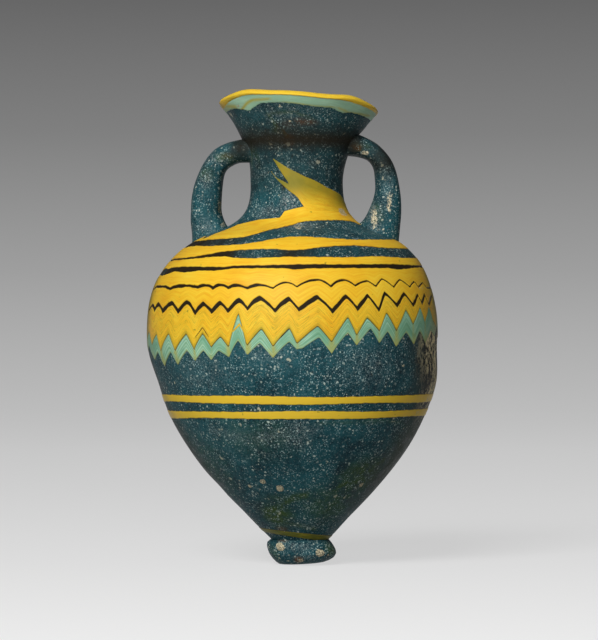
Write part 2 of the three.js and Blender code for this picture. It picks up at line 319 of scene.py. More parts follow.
def mix(tree, cover, ground, paint):
    """A ground colour with a paint over it, as much as its cover says."""
    ground, paint = ((*colour, 1) if isinstance(colour, tuple) else colour for colour in (ground, paint))
    return add(tree, "Mix", {0: cover, 6: ground, 7: paint}, data_type="RGBA").outputs[2]


def ramp(tree, value, stops):
    """A colour read from a value, through stops of (value, colour) in rising order."""
    made = add(tree, "ValToRGB", {0: value})
    elements = made.color_ramp.elements
    while len(elements) < len(stops):
        elements.new(0.5)
    for element, (position, colour) in zip(elements, stops):
        element.position = position
        element.color = (*colour, 1)
    return made.outputs[0]


def noise(tree, place, scale, detail=3.0, rough=0.55, distortion=0.0):
    inputs = {"Vector": place, "Scale": scale, "Detail": detail, "Roughness": rough}
    inputs["Distortion"] = distortion
    return add(tree, "TexNoise", inputs).outputs[0]


def between(tree, value, low, high, first=0.0, last=1.0):
    """The value from low to high, eased into first to last."""
    inputs = {0: value, 1: low, 2: high, 3: first, 4: last}
    return add(tree, "MapRange", inputs, interpolation_type="SMOOTHSTEP").outputs[0]


def attribute(tree, name):
    return add(tree, "Attribute", {}, attribute_name=name).outputs["Fac"]


def group(name, inputs, outputs):
    """A node group with float or vector inputs and float or colour outputs."""
    tree = bpy.data.node_groups.new(name, "ShaderNodeTree")
    for label, kind, default in inputs:
        socket = tree.interface.new_socket(label, in_out="INPUT", socket_type="NodeSocket" + kind)
        if default is not None:
            socket.default_value = default
    for label, kind in outputs:
        tree.interface.new_socket(label, in_out="OUTPUT", socket_type="NodeSocket" + kind)
    return tree, tree.nodes.new("NodeGroupInput"), tree.nodes.new("NodeGroupOutput")


def use(tree, shared, inputs):
    """A shared node group, placed in a material with its own values."""
    made = tree.nodes.new("ShaderNodeGroup")
    made.node_tree = shared
    connect(tree, made, inputs)
    return made


def drawn_out(tree, place, stretch):
    return add(tree, "Mapping", {0: place, 3: stretch}).outputs[0]


def make_specks():
    """Uneven grains strewn at random: one in each cell of a given scale, most of them small."""
    inputs = [("Place", "Vector", None), ("Cells", "Float", 2000.0), ("Size", "Float", 0.3)]
    inputs += [("Spread", "Float", 3.0)]
    tree, start, end = group("specks", inputs, [("Mask", "Float"), ("Chance", "Float")])
    place, scale, size, spread = start.outputs[:4]
    wrinkle = add(tree, "TexNoise", {"Vector": place, "Scale": times(tree, scale, 1.7), "Detail": 2.0})
    wrinkle_colour = wrinkle.outputs["Color"]
    centred = add(tree, "VectorMath", {0: wrinkle_colour, 1: (0.5, 0.5, 0.5)}, operation="SUBTRACT")
    shift = maths(tree, "DIVIDE", 0.9, scale)
    pushed = add(tree, "VectorMath", {0: centred.outputs[0], "Scale": shift}, operation="SCALE")
    warped = add(tree, "VectorMath", {0: place, 1: pushed.outputs[0]}, operation="ADD")
    cells = add(tree, "TexVoronoi", {"Vector": warped.outputs[0], "Scale": scale})
    chances = add(tree, "SeparateColor", {0: cells.outputs["Color"]})
    reach = times(tree, maths(tree, "POWER", chances.outputs[0], spread), size)
    inside = maths(tree, "SUBTRACT", reach, cells.outputs["Distance"])
    mask = maths(tree, "MULTIPLY", inside, 12.0, clamp=True)
    connect(tree, end, {"Mask": mask, "Chance": chances.outputs[1]})
    return tree


def make_crust():
    """Crumbly buff weathering that fills a mask from its middle outwards."""
    inputs = [("Place", "Vector", None), ("Mask", "Float", 0.0)]
    tree, start, end = group("crust", inputs, [("Cover", "Float"), ("Colour", "Color")])
    place, mask = start.outputs[:2]
    fine = noise(tree, place, 3800.0, 3.0, 0.6)
    grain = blend(tree, (noise(tree, place, 900.0, 5.0, 0.7), 0.65), (fine, 0.35))
    cover = between(tree, maths(tree, "ADD", mask, grain), 0.93, 1.06)
    cover = times(tree, cover, between(tree, fine, 0.35, 0.5, 0.55, 1.0))
    colour = ramp(tree, fine, [(0.35, (0.16, 0.13, 0.075)), (0.62, (0.68, 0.61, 0.42))])
    connect(tree, end, {"Cover": cover, "Colour": colour})
    return tree


SPECKS = make_specks()
CRUST = make_crust()


def start_material(name):
    """A new material, its node tree, the place on the object and its shader."""
    material = bpy.data.materials.new(name)
    material.use_nodes = True
    tree = material.node_tree
    place = add(tree, "TexCoord", {}).outputs["Object"]
    return material, tree, place, tree.nodes["Principled BSDF"]


def bumped(tree, shader, height, strength, distance=0.06):
    """Relief from a height, over a distance in mm."""
    bump = add(tree, "Bump", {"Strength": strength, "Distance": distance * MM, "Height": height})
    connect(tree, shader, {"Normal": bump.outputs[0]})


def strewn(tree, place, cells, size, spread):
    """Specks of a scale and a size; a large spread leaves most of them tiny."""
    return use(tree, SPECKS, {"Place": place, "Cells": cells, "Size": size, "Spread": spread})


def teal_ground(tree, place, mottle, grain):
    """Cloudy teal under olive veils, pale dust and rust, with dark pits."""
    tone = blend(tree, (noise(tree, place, 110.0, 4.0, 0.6, 0.6), 0.4), (mottle, 0.3), (grain, 0.3))
    colour = ramp(tree, tone, [(0.38, (0.005, 0.02, 0.029)), (0.64, (0.022, 0.106, 0.124))])
    veil = times(tree, attribute(tree, "olive"), between(tree, mottle, 0.34, 0.62, 0.2, 1.0))
    colour = mix(tree, veil, colour, (0.05, 0.082, 0.012))
    dusty = times(tree, attribute(tree, "dust"), between(tree, grain, 0.46, 0.62))
    colour = mix(tree, dusty, colour, (0.25, 0.26, 0.25))
    rusty = times(tree, attribute(tree, "rust"), between(tree, mottle, 0.36, 0.6, 0.25, 1.0))
    colour = mix(tree, rusty, colour, (0.115, 0.05, 0.02))
    pits = times(tree, strewn(tree, place, 2100.0, 0.42, 1.5).outputs[0], 0.6)
    return mix(tree, pits, colour, (0.004, 0.01, 0.012))


def pale_grains(tree, place, colour):
    """Fine, middling and large grains over a colour, and the mask of the middling ones."""
    fine = strewn(tree, place, 4300.0, 0.58, 0.9)
    patchy = between(tree, noise(tree, place, 330.0, 3.0), 0.36, 0.62, 0.2, 1.0)
    fine_mask = times(tree, times(tree, fine.outputs[0], fine.outputs[1]), patchy)
    colour = mix(tree, fine_mask, colour, (0.36, 0.49, 0.47))
    middling = strewn(tree, place, 1900.0, 0.42, 2.0)
    sunk = times(tree, middling.outputs[0], between(tree, middling.outputs[1], 0, 1, 0.3, 0.95))
    colour = mix(tree, sunk, colour, (0.46, 0.53, 0.46))
    large = times(tree, strewn(tree, place, 640.0, 0.27, 4.5).outputs[0], 0.8)
    return mix(tree, large, colour, (0.5, 0.5, 0.37)), sunk


def gilding(tree, place, colour):
    """Gold flakes on a dark brown ground, drawn out upwards, over the gilt patches."""
    drawn = drawn_out(tree, place, (1, 1, 0.45))
    fine = noise(tree, drawn, 3000.0, 3.0, 0.65)
    coarse = noise(tree, drawn, 620.0, 3.0, 0.6)
    flakes = blend(tree, (fine, 0.5), (coarse, 0.5))
    gold = ramp(tree, flakes, [(0.49, (0.012, 0.009, 0.005)), (0.522, (1.0, 0.86, 0.5))])
    return mix(tree, attribute(tree, "gilt"), colour, gold)


def teal_glass():
    """Dark teal glass, full of pale grains, with brown soil, painted shade, gilding and buff weathering."""
    material, tree, place, shader = start_material("teal_glass")
    mottle = noise(tree, place, 700.0, 4.0, 0.65)
    grain = noise(tree, place, 4200.0, 2.0, 0.6)
    colour, sunk = pale_grains(tree, place, teal_ground(tree, place, mottle, grain))
    # The brown colour is soil in the narrow lines and at the right side, and painted shade under the mouth,
    # on the upper neck, on the handles and at the sides.
    colour = mix(tree, attribute(tree, "brown"), colour, (0.019, 0.0135, 0.007))
    colour = gilding(tree, place, colour)
    weather, buff = use(tree, CRUST, {"Place": place, "Mask": attribute(tree, "cream")}).outputs[:2]
    colour = mix(tree, weather, colour, buff)
    rough = between(tree, mottle, 0.3, 0.7, 0.45, 0.65)
    rough = maths(tree, "ADD", rough, times(tree, weather, 0.35), clamp=True)
    connect(tree, shader, {"Base Color": colour, "Roughness": rough, "Specular IOR Level": 0.07})
    bumped(tree, shader, blend(tree, (mottle, 0.6), (sunk, -0.5), (weather, 0.9)), 0.5)
    return material


def thread_glass(name, dark, plain, light, stain):
    """Opaque coloured glass, drawn out in streaks that follow the thread and its combing."""
    material, tree, place, shader = start_material(name)
    along = add(tree, "CombineXYZ", {0: attribute(tree, "along"), 1: attribute(tree, "across")}).outputs[0]
    streak = noise(tree, drawn_out(tree, along, (0.16, 2.2, 1)), 1.0, 4.0)
    cloud = noise(tree, place, 150.0, 3.0)
    tone = blend(tree, (streak, 0.6), (cloud, 0.4))
    colour = ramp(tree, tone, [(0.36, dark), (0.5, plain), (0.64, light)])
    colour = mix(tree, attribute(tree, "pale"), colour, light)
    thin = noise(tree, drawn_out(tree, along, (0.3, 5.5, 1)), 1.0, 2.0)
    seam = maths(tree, "ABSOLUTE", maths(tree, "SUBTRACT", thin, 0.5))
    seam = times(tree, between(tree, seam, 0.008, 0.04, 1.0, 0.0), attribute(tree, "combed"))
    # The olive mask holds tints, and painted shade at the threads' sides.
    shaded = times(tree, attribute(tree, "olive"), between(tree, cloud, 0.2, 0.7, 0.6, 1.0))
    grains = times(tree, strewn(tree, place, 900.0, 0.26, 6.0).outputs[0], 0.6)
    for cover in (times(tree, seam, 0.45), shaded, grains):
        colour = mix(tree, cover, colour, stain)
    # The edge colour darkens the soiled edges and paints shade at the threads' two sides.
    colour = mix(tree, attribute(tree, "edge"), colour, (0.035, 0.022, 0.006))
    weather, buff = use(tree, CRUST, {"Place": place, "Mask": attribute(tree, "cream")}).outputs[:2]
    colour = mix(tree, times(tree, weather, 0.8), colour, buff)
    rough = between(tree, cloud, 0.3, 0.7, 0.4, 0.55)
    connect(tree, shader, {"Base Color": colour, "Roughness": rough, "Specular IOR Level": 0.15})
    bumped(tree, shader, streak, 0.25)
    return material


# The coloured glasses: dark, plain and light streaks, and the stain in seams, tints, painted side shade and
# grains
THREAD_GLASSES = {
    "yellow_glass": [(0.8, 0.4, 0.018), (0.86, 0.51, 0.026), (0.88, 0.6, 0.045), (0.2, 0.185, 0.02)],
    "turquoise_glass": [(0.11, 0.32, 0.2), (0.2, 0.43, 0.28), (0.42, 0.66, 0.48), (0.42, 0.37, 0.05)],
    "olive_glass": [(0.045, 0.07, 0.015), (0.13, 0.13, 0.015), (0.26, 0.22, 0.02), (0.03, 0.05, 0.02)],
}
GLASSES = {"teal_glass": teal_glass()}
for glass_name, glass_colours in THREAD_GLASSES.items():
    GLASSES[glass_name] = thread_glass(glass_name, *glass_colours)

# The dark lines between the turns of the yellow thread, read from left to right in the
# photograph's pixels: first the upper edge of each gap, then its lower edge.
GAPS = [
    (
        [(199.7, 240.6), (229, 238.4), (246.6, 236.6), (267, 230.3), (279, 227.8), (293.5, 224.5)]
        + [(302, 221.5), (317, 220.4), (339, 220), (353.7, 221.5), (359.6, 224.5)],
        [(200, 245), (204, 245.7), (229, 244.6), (243.7, 243.5), (258.3, 241.3), (273, 238.4)]
        + [(287.7, 236.2), (302.4, 235.8), (317, 236.6), (331.7, 237.7), (353.7, 239.1), (396.2, 239.1)],
    ),
    (
        [(185, 257.8), (193.8, 256.7), (207, 254.5), (221.7, 251.6), (234.9, 250.4), (248, 249.4)]
        + [(273, 248.7), (287.7, 250.1), (299.4, 250.1), (311.2, 248.4), (325.8, 246.5)]
        + [(340.5, 245.7), (355.2, 245.4), (369.8, 246.5), (384.5, 247.9), (405, 248.7)],
        [(185, 258.9), (196.7, 257.8), (211.4, 256.3), (226, 255.7), (234.9, 257.2), (248, 257.8)]
        + [(273, 256.7), (287.7, 256), (317, 256.3), (346.4, 256.7), (375.7, 255.6), (405, 257.5)],
    ),
    (
        [(172, 267.5), (185, 266.5), (226, 267), (235, 265.5), (261, 265.3), (311, 264.1), (340, 264.5)]
        + [(390, 264.1), (415, 265.5)],
        [(166, 274), (176, 270.5), (185, 272.1), (198, 270), (220, 270), (230.5, 267.7), (284.7, 267.5)]
        + [(296.5, 269.2), (307, 267.7), (390, 267.5), (396, 269.2), (415, 267)],
    ),
]
# The two combed lines, as middles of the line at each cusp and crest, and how thick they are
SCALLOPS = [(157, 286.3), (164, 286.3), (170, 288.5), (178, 286), (185, 285.4), (197.5, 286.8), (204.8, 285)]
SCALLOPS += [(212.9, 287.6), (219.5, 284.6), (228.3, 287.3), (236.3, 285), (247.3, 288), (258.3, 284.6)]
SCALLOPS += [(273, 288), (286.2, 282.1), (296.8, 286.5), (317, 279.5), (331, 286.1), (343.4, 279.8)]
SCALLOPS += [(355.2, 285.3), (366.9, 280.7), (375.7, 286.1), (381.6, 278.7), (393.3, 286.8)]
SCALLOPS += [(399.2, 279.5), (409, 286.5), (413.5, 281.5), (418, 287), (422, 282.5), (426, 287.5)]
ZIGZAG = [(153, 305), (155.5, 309), (159, 304), (163, 311), (172, 303), (178, 311.5), (187, 302)]
ZIGZAG += [(195, 312.5), (203.3, 303.7), (211.4, 311.8), (220.2, 302.7), (227.5, 311), (239.3, 300)]
ZIGZAG += [(247.3, 308.1), (259.8, 297.8), (274.8, 310.3), (289.2, 298.6), (298.7, 309.6)]
ZIGZAG += [(317.8, 296.8), (332.4, 311), (346.4, 295.9), (357.4, 308.5), (367.6, 295.6), (378.6, 309.6)]
ZIGZAG += [(384.5, 292.7), (396.2, 305.2), (403.6, 293.4), (412.4, 305.2), (417, 294.5), (421, 303)]
ZIGZAG += [(424, 294.5), (428, 304.5), (431, 295), (434, 303)]
SCALLOP_WIDTH = [(-80, 0.36), (-30, 0.4), (-14, 0.32), (-6, 0.15), (4, 0.15), (14, 0.28), (30, 0.16)]
SCALLOP_WIDTH += [(80, 0.13)]
ZIGZAG_WIDTH = [(-80, 0.6), (-40, 0.68), (0, 0.58), (30, 0.62), (50, 0.52), (80, 0.42)]
# The border of yellow and turquoise, and that of turquoise and the bare wall
YELLOW_TIPS = [(150, 331), (153, 345), (157, 334), (161.7, 351), (168.7, 333.5), (175.5, 350.5)]
YELLOW_TIPS += [(186, 333.8), (194.1, 349.2), (202.3, 333.5), (211, 347), (220, 336.5), (228.5, 347)]
YELLOW_TIPS += [(238.3, 313), (246.6, 345.5), (261.3, 328.6), (273, 346.2), (289.2, 327.9), (296.8, 343.3)]
YELLOW_TIPS += [(317.8, 325.7), (331.7, 341.8), (347.8, 316.9), (356.6, 335.2), (366.9, 317.6)]
YELLOW_TIPS += [(379.4, 330.8), (386, 312.5), (396.2, 330.8), (405, 309.6), (412.4, 324.2), (419, 307)]
YELLOW_TIPS += [(424, 322), (428, 306), (432, 320)]
TURQUOISE_TIPS = [(150, 345), (156, 360), (159, 352), (165.5, 366.5), (171.4, 352), (178.5, 365)]
TURQUOISE_TIPS += [(187.2, 350.6), (195.3, 360.9), (203.3, 350.6), (211.4, 360.2), (218.4, 350.6)]
TURQUOISE_TIPS += [(229, 357.2), (237.8, 340.4), (247.3, 355), (259.8, 343.3), (273, 358)]
TURQUOISE_TIPS += [(289.2, 341.8), (296.5, 349.2), (302.4, 348.4), (319.2, 337.4), (331.7, 353.6)]
TURQUOISE_TIPS += [(347.8, 333), (356.6, 345.5), (370.6, 328.6), (379.4, 343.3), (387.4, 331.6)]
TURQUOISE_TIPS += [(396.2, 347), (405.8, 332.3), (413.8, 344.8), (419, 331), (425, 343), (430, 330)]
# How rounded the crests are, from pointed at 1 to arched at 2: (angle, power)
SCALLOP_ROUNDING = [(-80, 1.7), (22, 2.0), (34, 1.3), (80, 1.2)]
ZIGZAG_ROUNDING = [(-80, 1.6), (-15, 1.4), (15, 1.15), (80, 1.1)]
YELLOW_ROUNDING = [(-80, 1.15), (80, 1.05)]
TURQUOISE_ROUNDING = [(-80, 1.05), (-20, 1.1), (80, 1.1)]
# The upper edge of the yellow thread's first turn
FIRST_TURN_TOP = [(203, 239), (219, 229), (238, 224), (259, 219), (280, 217), (284.5, 210.5), (294, 208)]
FIRST_TURN_TOP += [(303, 206), (330, 207), (344, 208), (349, 211), (353, 218)]

# Steps to the turn, the steps of six turns and of one, how many mm a turn is about as long as,
# for the streaks, and where the yellow thread starts and ends
STEPS = 720
TURNS = np.arange(0, 6 * STEPS + 1) / STEPS
ONE_TURN = np.arange(STEPS) / STEPS
TURN_LENGTH = 150
START_TURN = -0.1
END_TURN = 5.9
# How many comb strokes cross the back, and how deep they drag the line after each turn
BACK_STROKES = 18
BACK_DEPTHS = [0.0, 0.05, 0.3, 0.9, 1.6]


def knots(points, k):
    """Points read off the front, as turns in rising order, and heights."""
    angle, height = seen(points)
    order = np.argsort(-angle)
    return k + 0.25 - angle[order] / 360, height[order]


def arched(turns, heights, k, powers):
    """Rounds each crest between two cusps: h = crest - (crest - cusp) (1 - s)^power."""
    fine = np.linspace(turns[0], turns[-1], 40 * len(turns))
    i = np.clip(np.searchsorted(turns, fine) - 1, 0, len(turns) - 2)
    share = (fine - turns[i]) / (turns[i + 1] - turns[i])
    power = np.interp((k + 0.25 - fine) * 360, *np.array(powers).T)
    rising = heights[i + 1] > heights[i]
    eased = np.where(rising, 1 - (1 - share) ** power, share**power)
    return fine, heights[i] + (heights[i + 1] - heights[i]) * eased


def ragged(turns, seed):
    """The small unevenness of a drawn thread's edge: three waves round each turn."""
    around = turns * 2 * np.pi
    waves = [(0.4, 37, 1.0), (0.35, 61, 2.3), (0.35, 101, 4.1)]
    return sum(size * np.sin(count * around + phase * seed) for size, count, phase in waves)


def behind(before, after, depth):
    """Knots across the back, from one front's end to the next one's start, with comb strokes."""
    (first_turn, first_height), (last_turn, last_height) = before, after
    count = 2 * BACK_STROKES + 1
    turns = np.linspace(first_turn, last_turn, count + 2)[1:-1]
    share = (turns - first_turn) / (last_turn - first_turn)
    eased = first_height + (last_height - first_height) * share
    drag = np.where(np.arange(count) % 2 == 0, -0.5, 0.5) * depth
    uneven = np.sin(np.arange(count) * 2.3) * 0.1 * (0.3 + depth)
    return turns, eased + drag + uneven


def joined(fronts):
    """One edge round all turns, from the fronts' knots and the backs between them."""
    stretches = [fronts[0]]
    for front, after, depth in zip(fronts, fronts[1:], BACK_DEPTHS):
        stretches.append(behind((front[0][-1], front[1][-1]), (after[0][0], after[1][0]), depth))
        stretches.append(after)
    turns, heights = zip(*stretches)
    return np.concatenate(turns), np.concatenate(heights)


def softened(values, reach):
    """Values smoothed over a reach of steps each way."""
    window = np.hanning(2 * reach + 3)[1:-1]
    padded = np.pad(values, reach, mode="edge")
    return np.convolve(padded, window / window.sum(), mode="valid")


def combed_edge(k, middles, widths, rounding, side):
    """The upper (0) or lower (1) edge of a combed line, thicker where it rises to the right."""
    turns, heights = arched(*knots(middles, k), k, rounding)
    heavy = softened(np.where(np.gradient(heights, turns) < 0, 1.25, 0.8), 8)
    width = np.interp((k + 0.25 - turns) * 360, *np.array(widths).T)
    return turns, heights + (0.5 - side) * width * (heavy + 0.3 * ragged(turns, k + side))


def line_edge(side):
    """The upper (0) or lower (1) edge of the dark line under each turn, at all TURNS."""
    fronts = [knots(gap[side], k) for k, gap in enumerate(GAPS)]
    fronts.append(combed_edge(3, SCALLOPS, SCALLOP_WIDTH, SCALLOP_ROUNDING, side))
    fronts.append(combed_edge(4, ZIGZAG, ZIGZAG_WIDTH, ZIGZAG_ROUNDING, side))
    turns, heights = arched(*knots(YELLOW_TIPS, 5), 5, YELLOW_ROUNDING)
    fronts.append((turns, heights + 0.04 * (1 - side)))
    edge = np.interp(TURNS, *joined(fronts))
    smooth = softened(edge, 9) + 0.045 * ragged(TURNS, 1 + 3 * side)
    return smooth + (edge - smooth) * smoothstep(TURNS, 2.55, 2.8)


def combed_border(tips, depth, rounding):
    """The lower border of a combed thread, closed round the back, at each step of a turn."""
    turns, heights = arched(*knots(tips, 0), 0, rounding)
    back = behind((turns[-1], heights[-1]), (turns[0] + 1, heights[0]), depth)
    all_turns = np.concatenate([turns, back[0], [turns[0] + 1]])
    all_heights = np.concatenate([heights, back[1], [heights[0]]])
    return np.interp(np.where(ONE_TURN < turns[0], ONE_TURN + 1, ONE_TURN), all_turns, all_heights)


LINE_TOP = line_edge(0)
LINE_BOTTOM = np.minimum(line_edge(1), LINE_TOP - 0.03)
YELLOW_BORDER = combed_border(YELLOW_TIPS, 2.6, YELLOW_ROUNDING)
TURQUOISE_BORDER = combed_border(TURQUOISE_TIPS, 2.3, TURQUOISE_ROUNDING)
ACROSS = np.linspace(0, 1, 9)


def ribbon(turns, lower, upper, proud=PROUD, sunk=0.28):
    """Sections of a thread rolled into the wall: P(turn, s) on the outside between two edges,
    a little proud of it, with both edges turned down below it. With the points come their
    heights, their angles, their shares s of the width and how near they are to an edge."""
    lower, upper = lower[:, None], upper[:, None]
    width = np.maximum(upper - lower, LEAST_WIDTH)
    first, second = np.minimum(0.05 / width, 0.1), np.minimum(0.14 / width, 0.22)
    inner = second + (1 - 2 * second) * ACROSS
    low, high = 0 * first, 0 * first + 1
    shares = np.concatenate([low, low, first, inner, 1 - first, high, high, inner[:, ::-2]], axis=1)
    crown = [-proud * 0.7] + [-proud] * len(ACROSS) + [-proud * 0.7]
    depths = np.array([sunk, EDGE_SINK, *crown, EDGE_SINK] + [sunk] * 6)
    edge = np.array([1, 1, 0.55] + [0] * len(ACROSS) + [0.55, 1] + [1] * 6)
    heights = lower + width * shares
    angle = 90 - turns[:, None] * 360 + 0 * heights
    return skin(angle, heights, depths), heights, angle, shares, edge + 0 * heights


# Painted shade on the coloured glass at the two sides, through its edge colour
SIDE_SHADE = [(-92, 42, 5.5, 9, 0.72), (92, 41, 3.5, 9, 0.5)]


def thread(name, slot, turns, lower, upper, ring=False, spots=(), tints_and_side_shade=(), tint=None, **more):
    """A thread's piece, with the masks that its glass reads: how it runs, its soiled edges and painted
    shade at its sides, its buff spots, its olive tints, tips and tint, and how much it was combed."""
    points, heights, angle, shares, edge = ribbon(turns, lower, upper)
    width = (upper - lower)[:, None]
    tips = 0.6 * (1 - smoothstep(shares, 0.0, 0.22)) * smoothstep(turns, 4.95, 5.0)[:, None]
    olive = np.maximum(patches(angle, heights, tints_and_side_shade), tips)
    masks = {
        "along": turns[:, None] * TURN_LENGTH,
        "across": shares * 4 + np.floor(turns)[:, None] * 7,
        "edge": np.maximum(edge * smoothstep(width, 0.05, 0.5), patches(angle, heights, SIDE_SHADE)),
        "cream": patches(angle, heights, spots),
        "olive": np.maximum(olive, tint(shares)) if tint else olive,
        "combed": smoothstep(turns, 4.1, 5.0)[:, None],
    }
    masks.update(more)
    piece(name, points, slot, ring, **masks)


# The yellow thread's top and bottom at its start, its top behind the vessel, as (turn, height),
# and the turn from which it runs along under the turn before
START_TOP = 58.3
START_BOTTOM = 57.9
BACK_TOP = [(0.62, 54.9), (0.8, 54.75), (0.95, 54.3)]
UNDER_TURN = 1.02


def yellow_trail():
    """The yellow thread: from the foot of the neck down in six turns, ending in a point."""
    turns = np.arange(round(START_TURN * STEPS), round(END_TURN * STEPS) + 1) / STEPS
    top = [(START_TURN, START_TOP), *zip(*knots(FIRST_TURN_TOP, 0)), *BACK_TOP]
    top.append((UNDER_TURN, np.interp(UNDER_TURN - 1, TURNS, LINE_BOTTOM)))
    previous = np.interp(turns - 1, TURNS, LINE_BOTTOM)
    upper = np.where(turns > UNDER_TURN, previous, np.interp(turns, *np.array(top).T))
    lead = START_BOTTOM + (LINE_TOP[0] - START_BOTTOM) * smoothstep(turns, START_TURN, 0)
    lower = np.where(turns < 0, lead, np.interp(turns, TURNS, LINE_TOP))
    lower = np.where(turns < 5, lower, np.interp(turns - 5, ONE_TURN, YELLOW_BORDER, period=1))
    upper = np.maximum(upper, lower + LEAST_WIDTH)
    spots = [(62, 58.4, 1.4, 0.7, 0.8), (64, 46.2, 3.0, 1.6, 0.42), (78, 44.0, 1.5, 3.0, 0.42)]
    # The shades at 83 and -88 degrees are painted shade at the thread's sides; that at 72 is an olive tint.
    tints_and_side_shade = [(83, 42, 3.4, 9, 0.8), (-88, 41, 4.5, 10, 0.9), (72, 40.5, 3, 5, 0.3)]
    thread("trail_yellow", "yellow_glass", turns, lower, upper, spots=spots, tints_and_side_shade=tints_and_side_shade)


def turquoise_trail():
    """The turquoise thread, with yellow dragged down it by each stroke and lime tips below."""
    stroke = softened(YELLOW_BORDER, 26) - YELLOW_BORDER
    tip = softened(TURQUOISE_BORDER, 26) - TURQUOISE_BORDER
    streak = 0.75 * smoothstep(stroke, 0.7, 1.5)[:, None]
    lime = 0.8 * smoothstep(tip, 0.2, 1.0)[:, None]

    def tint(shares):
        lower = lime * (1 - smoothstep(shares, 0.1, 0.6))
        edges = 0.45 * (1 - smoothstep(shares, 0.02, 0.16))
        return np.maximum(np.maximum(streak, lower), edges)

    spots = [(75, 38.5, 1.6, 3.0, 0.45)]
    # The shades at 80 and -86 degrees are painted shade at the thread's sides; that at 52 is an olive tint.
    tints_and_side_shade = [(80, 38, 4, 6, 0.6), (-86, 37, 3, 5, 0.5), (52, 36.4, 1.2, 1.0, 0.6)]
    upper = YELLOW_BORDER - LEAST_WIDTH
    look = (spots, tints_and_side_shade, tint)
    thread("trail_turquoise", "turquoise_glass", ONE_TURN, TURQUOISE_BORDER, upper, True, *look, combed=0.4)


def belly_line(name, level, width, seed, tilt, tints_and_side_shade, spots):
    """One turn of thread whose height and width waver a little."""
    around = ONE_TURN * 2 * np.pi
    waver = 0.07 * np.sin(3 * around + seed) + 0.04 * np.sin(7 * around + 2 * seed)
    centre = level + waver + tilt * np.cos(around)
    half = width * (0.5 + 0.05 * np.sin(4 * around + seed))
    low = centre - half + 0.05 * ragged(ONE_TURN, seed)
    high = centre + half + 0.05 * ragged(ONE_TURN, seed + 2)
    thread(name, "yellow_glass", ONE_TURN, low, high, True, spots, tints_and_side_shade, combed=0.0, pale=0.8)


def belly_lines():
    """The two plain yellow lines, a little lemon in front, painted shade at the left, crumbly at the right.
    """
    # The shade at -80 degrees is painted shade at the left side; that at 0 is a lemon tint.
    tints_and_side_shade = [(-80, 27.7, 4, 2, 0.4), (0, 27.7, 30, 9, 0.14)]
    belly_line("belly_line_upper_yellow", 27.75, 1.3, 0.4, 0.0, tints_and_side_shade, [(72, 27.7, 5, 1.4, 0.42)])
    tints_and_side_shade = [(-80, 25.2, 4, 2, 0.4), (0, 25.3, 30, 9, 0.14)]
    belly_line("belly_line_lower_yellow", 25.3, 1.25, 1.9, 0.15, tints_and_side_shade, [(66, 25.4, 4.6, 1.3, 0.42)])


def foot_thread():
    """The thin olive thread above the knob, which climbs to the left."""
    around = ONE_TURN * 2 * np.pi
    centre = 5.15 - 0.75 * np.cos(around) + 0.04 * ragged(ONE_TURN, 2)
    half = 0.4 + 0.1 * np.cos(around - 0.9) + 0.03 * ragged(ONE_TURN, 5)
    low = np.maximum(centre - half, FOOT[1] + 0.03)
    thread("foot_thread_olive", "olive_glass", ONE_TURN, low, centre + half, True, combed=0.0)


def smear(name, node, turns, lower, upper, sunk, marks):
    """Yellow glass smeared or dragged over the wall, prouder than a thread. Its marks are worked
    out from the heights, the angles, the shares of the width and the nearness to an edge."""
    points, *seats = ribbon(turns, lower, upper, SMEAR_PROUD, sunk)
    masks = {"along": turns[:, None] * TURN_LENGTH, "combed": 0.4, **marks(*seats)}
    piece(name, points, "yellow_glass", node=node, **masks)


def feather(name, lower_points, upper_points):
    """A smear of yellow up the neck, drawn out to a point and olive towards it."""
    low_turns, low_heights = knots(lower_points, 0)
    high_turns, high_heights = knots(upper_points, 0)
    turns = np.linspace(min(low_turns[0], high_turns[0]), max(low_turns[-1], high_turns[-1]), 160)
    lower = softened(np.interp(turns, low_turns, low_heights), 3)
    upper = softened(np.interp(turns, high_turns, high_heights), 3) + 0.06 * ragged(turns * 2.5, 4)

    def marks(heights, angle, shares, edge):
        tip = smoothstep(heights, 58.8, 63.2)
        right = 0.6 * smoothstep(angle, 25, 60) * smoothstep(heights, 58, 60)
        top = 0.5 * smoothstep(shares, 0.6, 1.0) * smoothstep(heights, 59.3, 61)
        cream = patches(angle, heights, [(60, 58.6, 1.3, 0.7, 0.8)])
        olive = np.clip(tip + right + top, 0, 1)
        return {"across": shares * 5 + 30, "edge": edge * 0.2, "olive": olive, "cream": cream}

    upper = np.maximum(upper, lower + LEAST_WIDTH)
    smear(name, "neck_dab_yellow", turns, lower, upper, 0.2, marks)


def feathers():
    """The smear on the front of the neck, which has two tips."""
    feather(
        "neck_dab_yellow",
        [(273.3, 158.4), (276.5, 164.4), (284, 176), (289, 182.4), (290, 190), (298, 197.5), (302, 204)]
        + [(306, 209), (330, 211), (351, 215)],
        [(273.3, 158), (289, 168), (305, 176), (315, 180), (327, 187), (340, 194), (345.5, 197), (348, 204)],
    )
    feather(
        "neck_dab_yellow_second_tip",
        [(271.4, 171.2), (279, 181), (289, 190.5), (294, 194)],
        [(271.4, 170.8), (276.5, 177), (289, 183.5), (294, 187)],
    )


def stray(name, points, thickness, dark):
    """A small stray stroke dragged along by the comb: its half width is t sqrt(s (1 - s))."""
    stroke_turns, stroke_heights = knots(points, 5)
    turns = np.linspace(stroke_turns[0], stroke_turns[-1], 40)
    level = np.interp(turns, stroke_turns, stroke_heights)
    share = np.linspace(0, 1, 40)
    half = thickness * np.sqrt(share * (1 - share)) + 0.01

    def marks(heights, angle, shares, edge):
        return {"across": shares * 2 + 50, "edge": np.maximum(edge * 0.3, dark), "olive": 0.25, "cream": 0.0}

    smear(name, "trail_yellow", turns, level - half, level + half, 0.28, marks)


